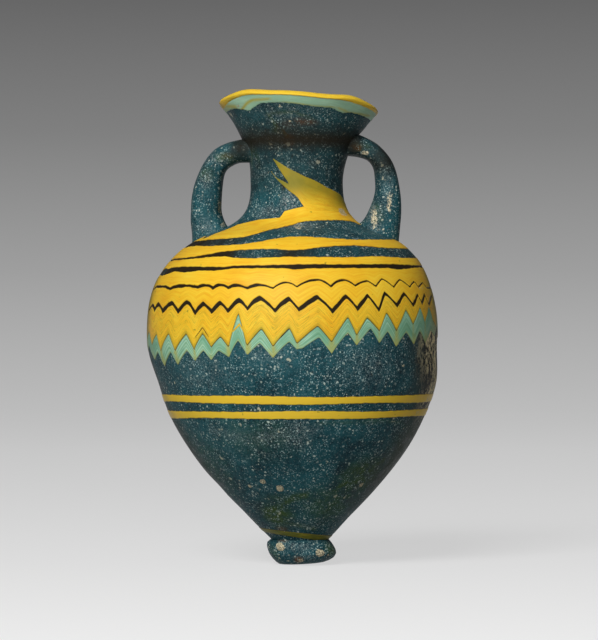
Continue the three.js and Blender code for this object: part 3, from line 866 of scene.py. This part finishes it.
def strays():
    """A yellow stray stroke and two dark ones, among the combed tips."""
    stray("trail_yellow_stray", [(231.5, 332), (239.5, 324), (248, 339)], 0.55, 0)
    stray("trail_dark_stray", [(195.3, 336.7), (202.3, 327.2), (208.5, 336.7)], 0.2, 1)
    stray("trail_dark_stray_right", [(280, 338), (289.5, 328.5), (292, 333)], 0.14, 1)


def narrow_lines(angle, height):
    """1 where the wall shows only as a thin line between two turns, and is stained brown."""
    turn = ((90 - angle) / 360) % 1
    stain = np.zeros(np.broadcast(angle, height).shape)
    for k in range(6):
        top = np.interp(turn + k, TURNS, LINE_TOP)
        low = np.interp(turn + k, TURNS, LINE_BOTTOM)
        width = top - low
        near = 1 - smoothstep(np.abs(height - (top + low) / 2), width / 2 + 0.3, width / 2 + 0.9)
        narrow = 1 - 0.75 * smoothstep(width, 0.8, 1.5) - 0.25 * smoothstep(width, 1.6, 2.2)
        stain = np.maximum(stain, near * narrow)
    return stain


# The angles of the columns of points round the vessel
COLUMNS = np.arange(360) * 1.0

# The outer edges of the wall's seat and the funnel's foot are drawn in a little, and the inner
# edge of the seat is bevelled
SEAT_INSET = 0.05
BEVEL = 0.1

# What lies on the wall, as patches of each kind; the cream and dust at the front of the shoulder are a
# painted highlight
WALL_SPOTS = {
    "cream": [(-12.5, 13.2, 0.75, 0.55, 0.95), (-23, 14.3, 0.6, 0.5, 0.85), (-34.6, 13.5, 0.45, 0.35, 0.8)]
    # (2, 56.0) is a painted highlight on the front of the shoulder
    + [(48.6, 13.6, 0.7, 0.5, 0.7), (2, 56.0, 1.4, 1.0, 0.5), (48, 33.2, 0.55, 0.4, 0.75)]
    + [(-39, 57.4, 1, 0.6, 0.45)],
    "dust": [(0, 22.3, 2.4, 2.2, 0.4), (-10, 36, 4, 3, 0.25), (-8, 60.5, 1.4, 2.2, 0.8)]
    + [(-40, 32, 6, 3, 0.25), (-30, 58.6, 3, 1, 0.5), (30, 33, 5, 4, 0.2), (5, 6.9, 3, 0.9, 0.35)]
    # (2, 56.2) is a painted highlight on the front of the shoulder
    + [(2, 56.2, 4, 1.0, 0.6)],
    "olive": [(44, 15.0, 4.5, 3.0, 0.8), (30, 10.5, 5, 3.2, 0.6), (-22, 8.6, 2.8, 2.2, 0.9)]
    + [(-10, 11.5, 3.5, 0.8, 0.5), (-60, 17, 5, 5, 0.3), (70, 20, 5, 6, 0.4), (36, 24.2, 3, 0.5, 0.4)]
    + [(-20, 22, 7, 4, 0.25)],
    "rust": [(-10, 69.8, 0.9, 0.5, 0.9), (-24, 6.2, 1.0, 0.5, 0.7), (20, 66.6, 1.3, 0.6, 0.2)],
    "gilt": [(75, 36.5, 5.5, 6.5, 1.0), (78, 29.5, 4.5, 4.5, 0.9), (96, 35, 7, 7, 0.35)],
}
# Veins and streaks in the wall
WALL_VEINS = {
    "olive": [([(-28, 8.2), (-18, 9.6), (-4, 11.6), (8, 12.2)], 0.7, 0.8)]
    + [([(25, 12.6), (40, 15), (58, 17.8)], 0.9, 0.8), ([(-30, 6.9), (-10, 7.2), (25, 6.2)], 0.35, 0.7)]
    + [([(10, 24.0), (40, 24.3), (60, 23.7)], 0.3, 0.4), ([(-75, 66.5), (-62, 69.5), (-52, 67)], 1.2, 0.5)],
    "dust": [([(-44, 22.6), (-20, 21.4), (10, 23.2)], 0.9, 0.35)]
    + [([(-80, 65), (-66, 70), (-58, 65)], 0.8, 0.5)],
    "rust": [([(-30, 72), (-20, 71), (-9, 69.6)], 0.35, 0.6)],
}
# Brown at the wall's two sides, soil at the right and painted shade at both edges, and brown soil on the
# neck
SIDE_SOIL_AND_SHADE = [(78, 33, 10, 13, 0.88), (74, 17, 6, 10, 0.7), (-82, 20, 5.5, 10, 0.7), (-86, 34, 3.5, 8, 0.5)]
NECK_SOIL = [(-16, 62.9, 0.5, 1.0, 0.6)]


def collar_painted_shade(height):
    """The dark ring of painted shade under the mouth, where the handles meet the neck."""
    return 0.93 * hump(height, 70.3, 2.2)


def wall_levels():
    """Heights of the wall's rows of points, evenly spaced along the outline up to the seat."""
    length = np.concatenate([[0], np.cumsum(np.hypot(*np.diff(OUTLINE, axis=0).T))])
    top = length[np.searchsorted(OUTLINE[:, 1], COLLAR[1])]
    rows = np.append(np.linspace(0, top, 210)[:-1], [top - 0.05, top])
    return np.interp(rows, length, OUTLINE[:, 1])


def wall_sections(levels):
    """The wall: P(angle, height) outside from the foot to the mouth's seat, then the inside, at
    one wall's thickness along the normal, and down to a flat floor."""
    slope = np.interp(levels, OUTLINE[:, 1], SLOPE)
    length = np.sqrt(1 + slope**2)
    inner_radius, inner_height = outside(levels) - WALL / length, levels + WALL * slope / length
    inner = (inner_radius > 2 * POLE) & (levels < COLLAR[1] - 2 * POLE)
    inner_radius, inner_height = inner_radius[inner][::-4], inner_height[inner][::-4]
    order = np.argsort(-inner_height)
    seat = COLLAR[0] - WALL
    radius = np.array([COLLAR[0] - SEAT_INSET, seat, seat - BEVEL, *inner_radius[order], POLE])
    height = np.array([COLLAR[1], COLLAR[1], COLLAR[1] - BEVEL, *inner_height[order], inner_height.min()])
    shell = skin(*np.meshgrid(COLUMNS, levels))
    inside = bend(radius[:, None], COLUMNS, height[:, None] + 0 * COLUMNS)
    return np.concatenate([bend(POLE, COLUMNS, FOOT[1] + 0 * COLUMNS)[None], shell, inside])


def wall_marks(angle, height):
    """The masks of the wall's outside: each kind of patch and vein, and brown soil with painted shade."""
    masks = {}
    for mask, spots in WALL_SPOTS.items():
        veins = strokes(angle, height, WALL_VEINS.get(mask, []))
        masks[mask] = np.maximum(patches(angle, height, spots), veins)
    # The neck darkens towards the mouth as painted shade; NECK_SOIL adds a brown stain.
    neck_shade_and_soil = 0.34 * smoothstep(height, 60.5, 63) + patches(angle, height, NECK_SOIL)
    shade_and_soil = np.maximum(np.maximum(collar_painted_shade(height), neck_shade_and_soil), patches(angle, height, SIDE_SOIL_AND_SHADE))
    masks["brown"] = np.maximum(narrow_lines(angle, height), shade_and_soil)
    return masks


def vessel_body():
    """The vessel's wall, marked on its outside."""
    levels = wall_levels()
    sections = wall_sections(levels)
    masks = {}
    for mask, values in wall_marks(*np.meshgrid(COLUMNS, levels)).items():
        masks[mask] = np.zeros(sections.shape[:2])
        masks[mask][1 : 1 + len(levels)] = values
    piece("vessel_body", sections, "teal_glass", **masks)


# The shares s of the way up the outside at which a turned piece has its points
UP = np.concatenate([[0, 0.01], np.linspace(0.04, 0.96, 16), [0.99, 1]])


def turned(name, slot, low_edge, high_edge, inner, proud, veins=None, **marks):
    """One closed loop of profile turned round the mouth: the outside between two edges, as
    P(angle, s), swelling by proud * sqrt(4 s (1 - s)) from a sunk lower edge, and back along
    inner (radius, height).

    A mark is a list of patches, to which veins may add, a function of the height or a number.
    """
    share = UP[:, None]
    heights = low_edge + (high_edge - low_edge) * share
    depth = BEVEL * (share == 0) - proud * np.sqrt(4 * share * (1 - share)) if proud else 0.0
    radii, levels = np.array(inner).T[:, :, None] + 0 * COLUMNS
    shell = skin(COLUMNS + 0 * heights, heights, depth)
    sections = np.concatenate([shell, bend(radii, COLUMNS, levels)])
    masks = {}
    for mask, mark in marks.items():
        masks[mask] = np.zeros(sections.shape[:2])
        if isinstance(mark, list):
            found = strokes(COLUMNS, heights, (veins or {}).get(mask, []))
            masks[mask][: len(UP)] = np.maximum(patches(COLUMNS, heights, mark), found)
        elif callable(mark):
            masks[mask][: len(UP)] = mark(heights)
        else:
            masks[mask][:] = mark
    piece(name, sections, slot, True, **masks)


# How far the two threads round the lip reach below it: (angle, turquoise, yellow)
LIP_THREADS = [(-180, 1.7, 0.45), (-100, 1.6, 0.9), (-80, 1.6, 1.1), (-62, 1.7, 0.6), (-45, 2.45, 0.45)]
LIP_THREADS += [(-30, 1.45, 0.3), (-14, 1.3, 0.22), (11, 1.55, 0.25), (26, 1.5, 0.25), (38, 2.15, 0.45)]
LIP_THREADS += [(46, 1.85, 0.6), (62, 1.7, 0.5), (90, 1.6, 0.5), (130, 1.8, 0.5), (180, 1.7, 0.45)]

# Yellow drawn through the turquoise under the lip
RIM_STREAKS = [
    ([(-56, 73.9), (-50, 74.3), (-44, 74.75), (-37, 75.1), (-22, 75.35)], 0.2, 1.0),
    ([(-80, 75.4), (-68, 75.0), (-58, 74.6)], 0.35, 0.8),
    ([(-12, 74.95), (10, 74.75), (30, 74.8)], 0.12, 0.6),
    ([(32, 74.7), (45, 74.2), (60, 74.6), (74, 74.9)], 0.2, 0.7),
]

# Veins of the funnel
MOUTH_VEINS = {
    "olive": [([(-27, 73.2), (-22, 72.2), (-15, 71.2), (-9, 70.4)], 0.3, 0.9)]
    + [([(-24, 73.4), (-4, 73.6), (12, 72.9)], 0.2, 0.6)],
    "rust": [([(-20, 72.0), (-14, 71.3), (-9, 70.4)], 0.3, 0.6)],
}
INNER_LIP = (LIP[0] - LIP_THICKNESS, LIP[1] - LIP_THICKNESS * 0.1)


def mouth_funnel(lower):
    """The flare from the collar up to the threads, and its bore back down."""
    funnel = sweep((COLLAR[0] - WALL, COLLAR[1]), INNER_LIP, 62, 45, 0.3, 0.3, 20)[::-1]
    inner = [(12.0, 75.5), (11.2, 75.4), *funnel[1:], (COLLAR[0] - SEAT_INSET, COLLAR[1])]
    turned(
        "mouth_funnel",
        "teal_glass",
        COLLAR[1],
        lower + 0.2,
        inner,
        0,
        MOUTH_VEINS,
        cream=[(-15, 74.4, 0.4, 0.3, 0.7), (-8, 72.6, 0.4, 0.3, 0.6)],
        dust=[(-5, 74.0, 9, 0.8, 0.3), (-18, 73.2, 2.5, 0.25, 0.6), (-2, 73.0, 1.6, 0.2, 0.5)],
        olive=[(-20, 71.6, 0.9, 0.5, 0.6)],
        rust=[(5, 72.5, 2.4, 0.45, 0.8), (-7, 72.2, 2.0, 0.6, 0.4), (-10, 70.5, 0.9, 0.5, 0.9)],
        gilt=0.0,
        # Painted shade under the flare at the collar, over a faint brown all round.
        brown=lambda height: np.maximum(collar_painted_shade(height), 0.1),
    )


def rim_thread(name, slot, lower, upper, inner, proud, **marks):
    """A thread round the lip, streaked along its length."""
    along = COLUMNS / 360 * TURN_LENGTH
    across = np.linspace(0, 3, len(UP) + len(inner))[:, None]
    streaks = {"along": along, "across": across, "combed": 0.3, "edge": 0.0, "pale": 0.62}
    turned(name, slot, lower, upper, inner, proud, **streaks, **marks)


def mouth():
    """The funnel and the two threads round its lip."""
    at, turquoise, yellow = np.array(LIP_THREADS).T
    angle = signed(COLUMNS)
    lower = LIP[1] - softened(np.interp(angle, at, turquoise), 3) + 0.05 * ragged(COLUMNS / 360, 3)
    upper = LIP[1] - softened(np.interp(angle, at, yellow), 3) + 0.03 * ragged(COLUMNS / 360, 6)
    mouth_funnel(lower)
    rim_thread(
        "rim_thread_turquoise",
        "turquoise_glass",
        lower,
        upper + 0.2,
        [(12.4, 75.5), (11.9, 75.0), (11.2, 73.9)],
        0.1,
        veins={"olive": RIM_STREAKS},
        cream=[(-55, 74.6, 0.5, 0.3, 0.6)],
        olive=[(-80, 75, 2, 1, 0.5), (58, 74.5, 1.2, 0.3, 0.4)],
    )
    crest = (LIP[0] - LIP_THICKNESS * 0.45, LIP[1] + LIP_THICKNESS * 0.25)
    crown = [(13.0, 76.45), (12.6, 76.72), crest, (11.7, 76.55), (11.25, 76.25), INNER_LIP]
    crown += [(10.75, 75.5), (10.45, 75.1), (10.9, 74.9), (11.9, 75.0), (12.3, 75.3)]
    rim_thread(
        "rim_thread_yellow",
        "yellow_glass",
        upper,
        LIP[1],
        crown,
        0.15,
        cream=0.0,
        # The olive at 84 and -86 degrees is painted shade at the lip's sides; that at -60 is a tint.
        olive=[(84, 75.6, 1.5, 0.6, 0.5), (-86, 75.4, 1.5, 0.8, 0.5), (-60, 75.8, 2, 0.3, 0.3)],
    )


# The knob's profile: height, radius and how far its middle lies to the right
KNOB_PROFILE = [(0.0, 0.2, 0.6), (0.02, 3.3, 0.6), (0.12, 3.85, 0.62), (0.45, 4.5, 0.75), (1.0, 5.15, 0.85)]
KNOB_PROFILE += [(1.8, 5.65, 0.82), (2.5, 5.72, 0.66), (3.2, 5.62, 0.42), (3.7, 5.4, 0.26), (4.1, 5.0, 0.3)]
KNOB_PROFILE += [(4.4, 4.6, 0.33), (4.5, 4.4, 0.33)]
# The radius at which the knob's patches are laid out, and its small radius at the middle below
KNOB_GIRTH = 5.6
KNOB_POLE = 0.2
# The knob stands on what lies further left than this
KNOB_STANDS = -3.2
KNOB_SPOTS = {
    "cream": [(-38, 3.2, 1.1, 0.75, 1.0), (31, 2.1, 1.0, 0.8, 0.85), (-4, 0.8, 0.8, 0.5, 0.6)]
    + [(48, 1.7, 0.4, 0.3, 0.6)],
    "olive": [(60, 2.5, 1.6, 1.2, 0.8), (-60, 2, 1.5, 1.5, 0.4)],
    "dust": [(8, 1.2, 2.5, 0.7, 0.5), (-5, 3.2, 3, 0.8, 0.3)],
    "rust": [(-8, 1.0, 0.9, 0.6, 0.9), (-36, 4.2, 1.2, 0.4, 0.7)],
}


def base_knob():
    """The pad: P = centre(h) + r(h) (1 + a small wave), lifted a little towards the right below."""
    steps = np.arange(len(KNOB_PROFILE))
    share = np.linspace(0, steps[-1], 90)
    height, radius, centre = (np.interp(share, steps, column) for column in zip(*KNOB_PROFILE))
    radius, centre = softened(radius, 3), softened(centre, 3)
    radius[0] = KNOB_POLE
    height, radius, centre = height[:, None], radius[:, None], centre[:, None]
    around = np.radians(COLUMNS)
    wave = 0.018 * np.sin(2 * around + 1) + 0.012 * np.sin(5 * around + height) * smoothstep(height, 0, 1)
    x = centre + radius * (1 + wave) * np.sin(around)
    y = -radius * (1 + wave) * np.cos(around)
    lifted = height + 0.05 * np.maximum(x - KNOB_STANDS, 0) * np.exp(-height / 1.2)
    sections = np.stack([x, y, np.maximum(lifted, 0)], axis=-1)
    masks = {"gilt": 0.0, "brown": 0.0}
    for mask, spots in KNOB_SPOTS.items():
        masks[mask] = dabs(spots, lambda at, level: np.radians(signed(COLUMNS - at)) * KNOB_GIRTH, height)
    piece("base_knob", sections, "teal_glass", **masks)


def through(values, count):
    """A smooth curve through points: the cubic a + b s + c s^2 + d s^3 between each two."""
    values = np.array(values, dtype=float)
    padded = np.concatenate([[2 * values[0] - values[1]], values, [2 * values[-1] - values[-2]]])
    share = np.linspace(0, len(values) - 1, count)
    i = np.minimum(share.astype(int), len(values) - 2)
    s = (share - i).reshape((-1,) + (1,) * (values.ndim - 1))
    before, here, there, beyond = padded[i], padded[i + 1], padded[i + 2], padded[i + 3]
    bend_term = 2 * before - 5 * here + 4 * there - beyond
    last_term = -before + 3 * here - 3 * there + beyond
    return here + 0.5 * s * (there - before) + 0.5 * s**2 * bend_term + 0.5 * s**3 * last_term


# The handles' stations: outer x and height, inner x and height, and half the depth
LEFT_STATIONS = [
    (-7.6, 71.0, -7.1, 67.0, 3.0), (-9.2, 70.8, -8.8, 66.9, 3.1), (-11.4, 70.3, -10.2, 66.7, 3.2),
    (-13.9, 69.0, -11.4, 66.1, 3.2), (-15.7, 66.9, -12.15, 65.0, 3.2), (-17.0, 63.9, -12.6, 63.0, 3.2),
    (-17.8, 60.8, -12.7, 60.6, 3.3), (-17.9, 58.0, -12.7, 58.4, 3.5), (-17.8, 55.8, -12.1, 56.8, 3.9),
    (-17.7, 53.4, -11.0, 55.4, 4.4), (-17.4, 51.9, -11.0, 54.4, 4.2),
]
LEFT_SPOTS = {
    "cream": [(-13.0, 59.3, 0.5, 2.8, 0.52), (-12.4, 56.6, 1.0, 0.8, 0.48), (-15.0, 64.6, 0.8, 0.8, 0.42)],
    "dust": [(-13.4, 67.5, 2.4, 1.0, 0.5), (-15.4, 64.0, 1.2, 1.6, 0.5), (-15.5, 56.0, 2.0, 1.5, 0.35)],
    "olive": [(-12.0, 67.6, 1.8, 0.9, 0.6), (-15.2, 65.0, 1.2, 1.2, 0.5)],
    "rust": [(-11.5, 68.0, 1.2, 0.5, 0.3)],
    # Painted shade where the handle meets the neck under the mouth.
    "brown": [(-9.3, 69.6, 2.2, 2.8, 0.85)],
}
RIGHT_STATIONS = [
    (8.0, 72.1, 7.3, 68.0, 3.0), (9.3, 71.9, 8.9, 67.95, 3.1), (11.2, 71.1, 10.4, 67.8, 3.2),
    (13.5, 69.8, 11.7, 67.2, 3.2), (15.35, 67.7, 12.6, 65.9, 3.2), (16.5, 65.0, 12.85, 64.2, 3.2),
    (17.1, 62.0, 12.8, 61.9, 3.3), (17.2, 58.8, 12.2, 59.7, 3.6), (17.1, 56.3, 11.1, 57.7, 4.0),
    (16.7, 53.7, 9.8, 56.1, 4.5), (16.5, 52.0, 10.2, 54.9, 4.2),
]
RIGHT_SPOTS = {
    "cream": [(15.1, 60.0, 0.8, 3.0, 0.53), (12.6, 57.6, 1.0, 3.4, 0.53), (11.2, 68.4, 1.4, 0.6, 0.48)]
    + [(13.6, 55.6, 1.4, 0.6, 0.46), (16.2, 56.0, 0.4, 1.0, 0.44)],
    "dust": [(12.6, 57.5, 1.2, 2.6, 0.6), (15.0, 62.5, 1.0, 3.0, 0.4)],
    "olive": [(10.4, 69.4, 1.6, 0.8, 0.7), (13.4, 58.5, 1.0, 2.0, 0.4)],
    "rust": [(9.8, 69.2, 1.3, 0.7, 0.8), (16.6, 67.0, 0.8, 0.8, 0.3)],
    # Painted shade on the handle's upper arc and where it meets the neck under the mouth.
    "brown": [(14.5, 67.4, 3.4, 3.4, 0.72), (9.0, 70.5, 1.8, 2.6, 0.85)],
}


def handle(name, stations, spots, seed):
    """A strap: an oval r(t) = (a |cos t|^0.8, b |sin t|^0.8), waved a little, drawn through the
    stations between their outer and inner points."""
    track = through(stations, 110)
    outer, inner, half_depth = track[:, None, 0:2], track[:, None, 2:4], track[:, 4:]
    t = np.linspace(0, 2 * np.pi, 64, endpoint=False)
    across = np.sign(np.cos(t)) * np.abs(np.cos(t)) ** 0.8
    forward = np.sign(np.sin(t)) * np.abs(np.sin(t)) ** 0.8
    way = np.linspace(0, 1, len(track))[:, None]
    ridge = 1 + 0.018 * np.sin(5 * t + 5 * way + seed) + 0.02 * np.sin(27 * way + 2 * t + seed)
    flat = (outer + inner) / 2 + (outer - inner) / 2 * (across * ridge)[:, :, None]
    x, height = flat[..., 0], flat[..., 1]
    y = -half_depth * forward * ridge
    masks = {"gilt": 0.0}
    for mask in ("cream", "dust", "olive", "rust", "brown"):
        masks[mask] = dabs(spots[mask], lambda at, level: x - at, height) * (y < 1.0)
    piece(name, np.stack([x, y, height], axis=-1), "teal_glass", **masks)


def build_vessel():
    """All the pieces, each over its own node."""
    yellow_trail()
    turquoise_trail()
    belly_lines()
    foot_thread()
    feathers()
    strays()
    mouth()
    handle("handle_left", LEFT_STATIONS, LEFT_SPOTS, 0.3)
    handle("handle_right", RIGHT_STATIONS, RIGHT_SPOTS, 1.7)
    base_knob()
    vessel_body()


build_vessel()

# Floor, backdrop, light and camera

# How the paper's grey fades upwards in the picture, between the lowest and the highest height
LOWEST_SEEN = -14.0
HIGHEST_SEEN = 96.0
GREYS = [(0, 0.775), (0.13, 0.7), (0.3, 0.62), (0.4, 0.52), (0.57, 0.372), (0.78, 0.23), (1, 0.136)]
# How brightly the paper glows to the eye, how much the air lights things, and how much brighter
# it is to the eye
GLOW = 0.85
AIR_LIGHT = 0.045
SEEN_AIR = 0.22
# The round floor, the curve up from it and the wall; where the fade starts to follow the distance
FLOOR_RADIUS = 1100.0
CURVE = 260.0
WALL_HEIGHT = 1300.0
NEAR = 160
FAR = 420
# What the lamps look at, in metres
LAMP_AIM = (0, 0, 0.04)


def shown(tree):
    """1 for what is looked at straight, in a gloss or through glass, and 0 for light on things."""
    rays = add(tree, "LightPath", {})
    direct = maths(tree, "MAXIMUM", rays.outputs["Is Camera Ray"], rays.outputs["Is Glossy Ray"])
    return maths(tree, "MAXIMUM", direct, rays.outputs["Is Transmission Ray"])


def paper():
    """Matt paper, whose grey follows the height at which the camera sees it from the front."""
    material, tree, _, shader = start_material("studio_paper")
    share = add(tree, "MapRange", {0: attribute(tree, "level"), 1: LOWEST_SEEN, 2: HIGHEST_SEEN}).outputs[0]
    grey = ramp(tree, share, [(position, (level, level, level)) for position, level in GREYS])
    glow = times(tree, shown(tree), GLOW)
    connect(tree, shader, {"Base Color": mix(tree, 0.7, grey, (0, 0, 0)), "Emission Color": grey})
    connect(tree, shader, {"Emission Strength": glow, "Roughness": 0.9, "Specular IOR Level": 0.1})
    return material


def backdrop():
    """A round floor that curves up into a wall all round: P = (r sin a, -r cos a, z(r))."""
    quarter = np.linspace(0, np.pi / 2, 40)[1:]
    floor = np.geomspace(4, FLOOR_RADIUS, 60)
    wall = np.linspace(CURVE, WALL_HEIGHT, 20)[1:]
    radius = np.concatenate([floor, FLOOR_RADIUS + CURVE * np.sin(quarter), 0 * wall + FLOOR_RADIUS + CURVE])
    radius = radius[:, None]
    z = np.concatenate([0 * floor, CURVE * (1 - np.cos(quarter)), wall])[:, None]
    around = np.linspace(0, 2 * np.pi, 120, endpoint=False)
    x, y = radius * np.sin(around), -radius * np.cos(around)
    index = np.arange(x.size).reshape(x.shape)
    right = np.roll(index, -1, axis=1)
    quads = np.stack([index[:-1], index[1:], right[1:], right[:-1]], axis=-1).reshape(-1, 4)
    points = np.stack([x, y, z + 0 * x], axis=-1).reshape(-1, 3) * MM
    mesh = bpy.data.meshes.new("studio_sweep")
    mesh.from_pydata(points.tolist(), [], [*quads.tolist(), index[0].tolist()])
    mesh.shade_smooth()
    depth = y + (radius - y) * smoothstep(radius, NEAR, FAR)
    seen_level = EYE_HEIGHT + (z - EYE_HEIGHT) * CAMERA_DISTANCE / (CAMERA_DISTANCE + depth)
    level = mesh.attributes.new("level", "FLOAT", "POINT")
    level.data.foreach_set("value", seen_level.astype(np.float32).ravel())
    mesh.materials.append(paper())
    sweep_object = bpy.data.objects.new("studio_sweep", mesh)
    bpy.context.scene.collection.objects.link(sweep_object)


def studio_air():
    """A faint even light, and the paler air that is seen beyond the backdrop."""
    world = bpy.data.worlds.new("studio")
    bpy.context.scene.world = world
    world.use_nodes = True
    tree = world.node_tree
    strength = maths(tree, "MULTIPLY_ADD", shown(tree), SEEN_AIR, AIR_LIGHT)
    connect(tree, tree.nodes["Background"], {"Color": (0.8, 0.8, 0.8, 1), "Strength": strength})


def lamp(name, place, watts, size):
    """A square lamp, with its place and size in metres, that looks at the middle of the vessel."""
    data = bpy.data.lights.new(name, "AREA")
    data.energy = watts
    data.size = size
    lamp_object = bpy.data.objects.new(name, data)
    lamp_object.location = place
    aim = Vector(LAMP_AIM) - Vector(place)
    lamp_object.rotation_euler = aim.to_track_quat("-Z", "Y").to_euler()
    bpy.context.scene.collection.objects.link(lamp_object)


def photograph_camera():
    """The camera, where the photograph was taken from."""
    camera_data = bpy.data.cameras.new("camera")
    camera_data.lens = LENS
    camera_data.sensor_width = SENSOR_WIDTH
    camera = bpy.data.objects.new("camera", camera_data)
    camera.location = (CAMERA_X * MM, -CAMERA_DISTANCE * MM, EYE_HEIGHT * MM)
    camera.rotation_euler = (radians(CAMERA_TILT), 0, 0)
    bpy.context.scene.collection.objects.link(camera)
    bpy.context.scene.camera = camera


backdrop()
studio_air()
lamp("key", (-0.3, -0.82, 0.62), 10.8, 0.45)
lamp("fill", (-0.02, -1.0, 0.06), 3.0, 0.4)
photograph_camera()
bpy.context.scene.view_settings.view_transform = "Standard"
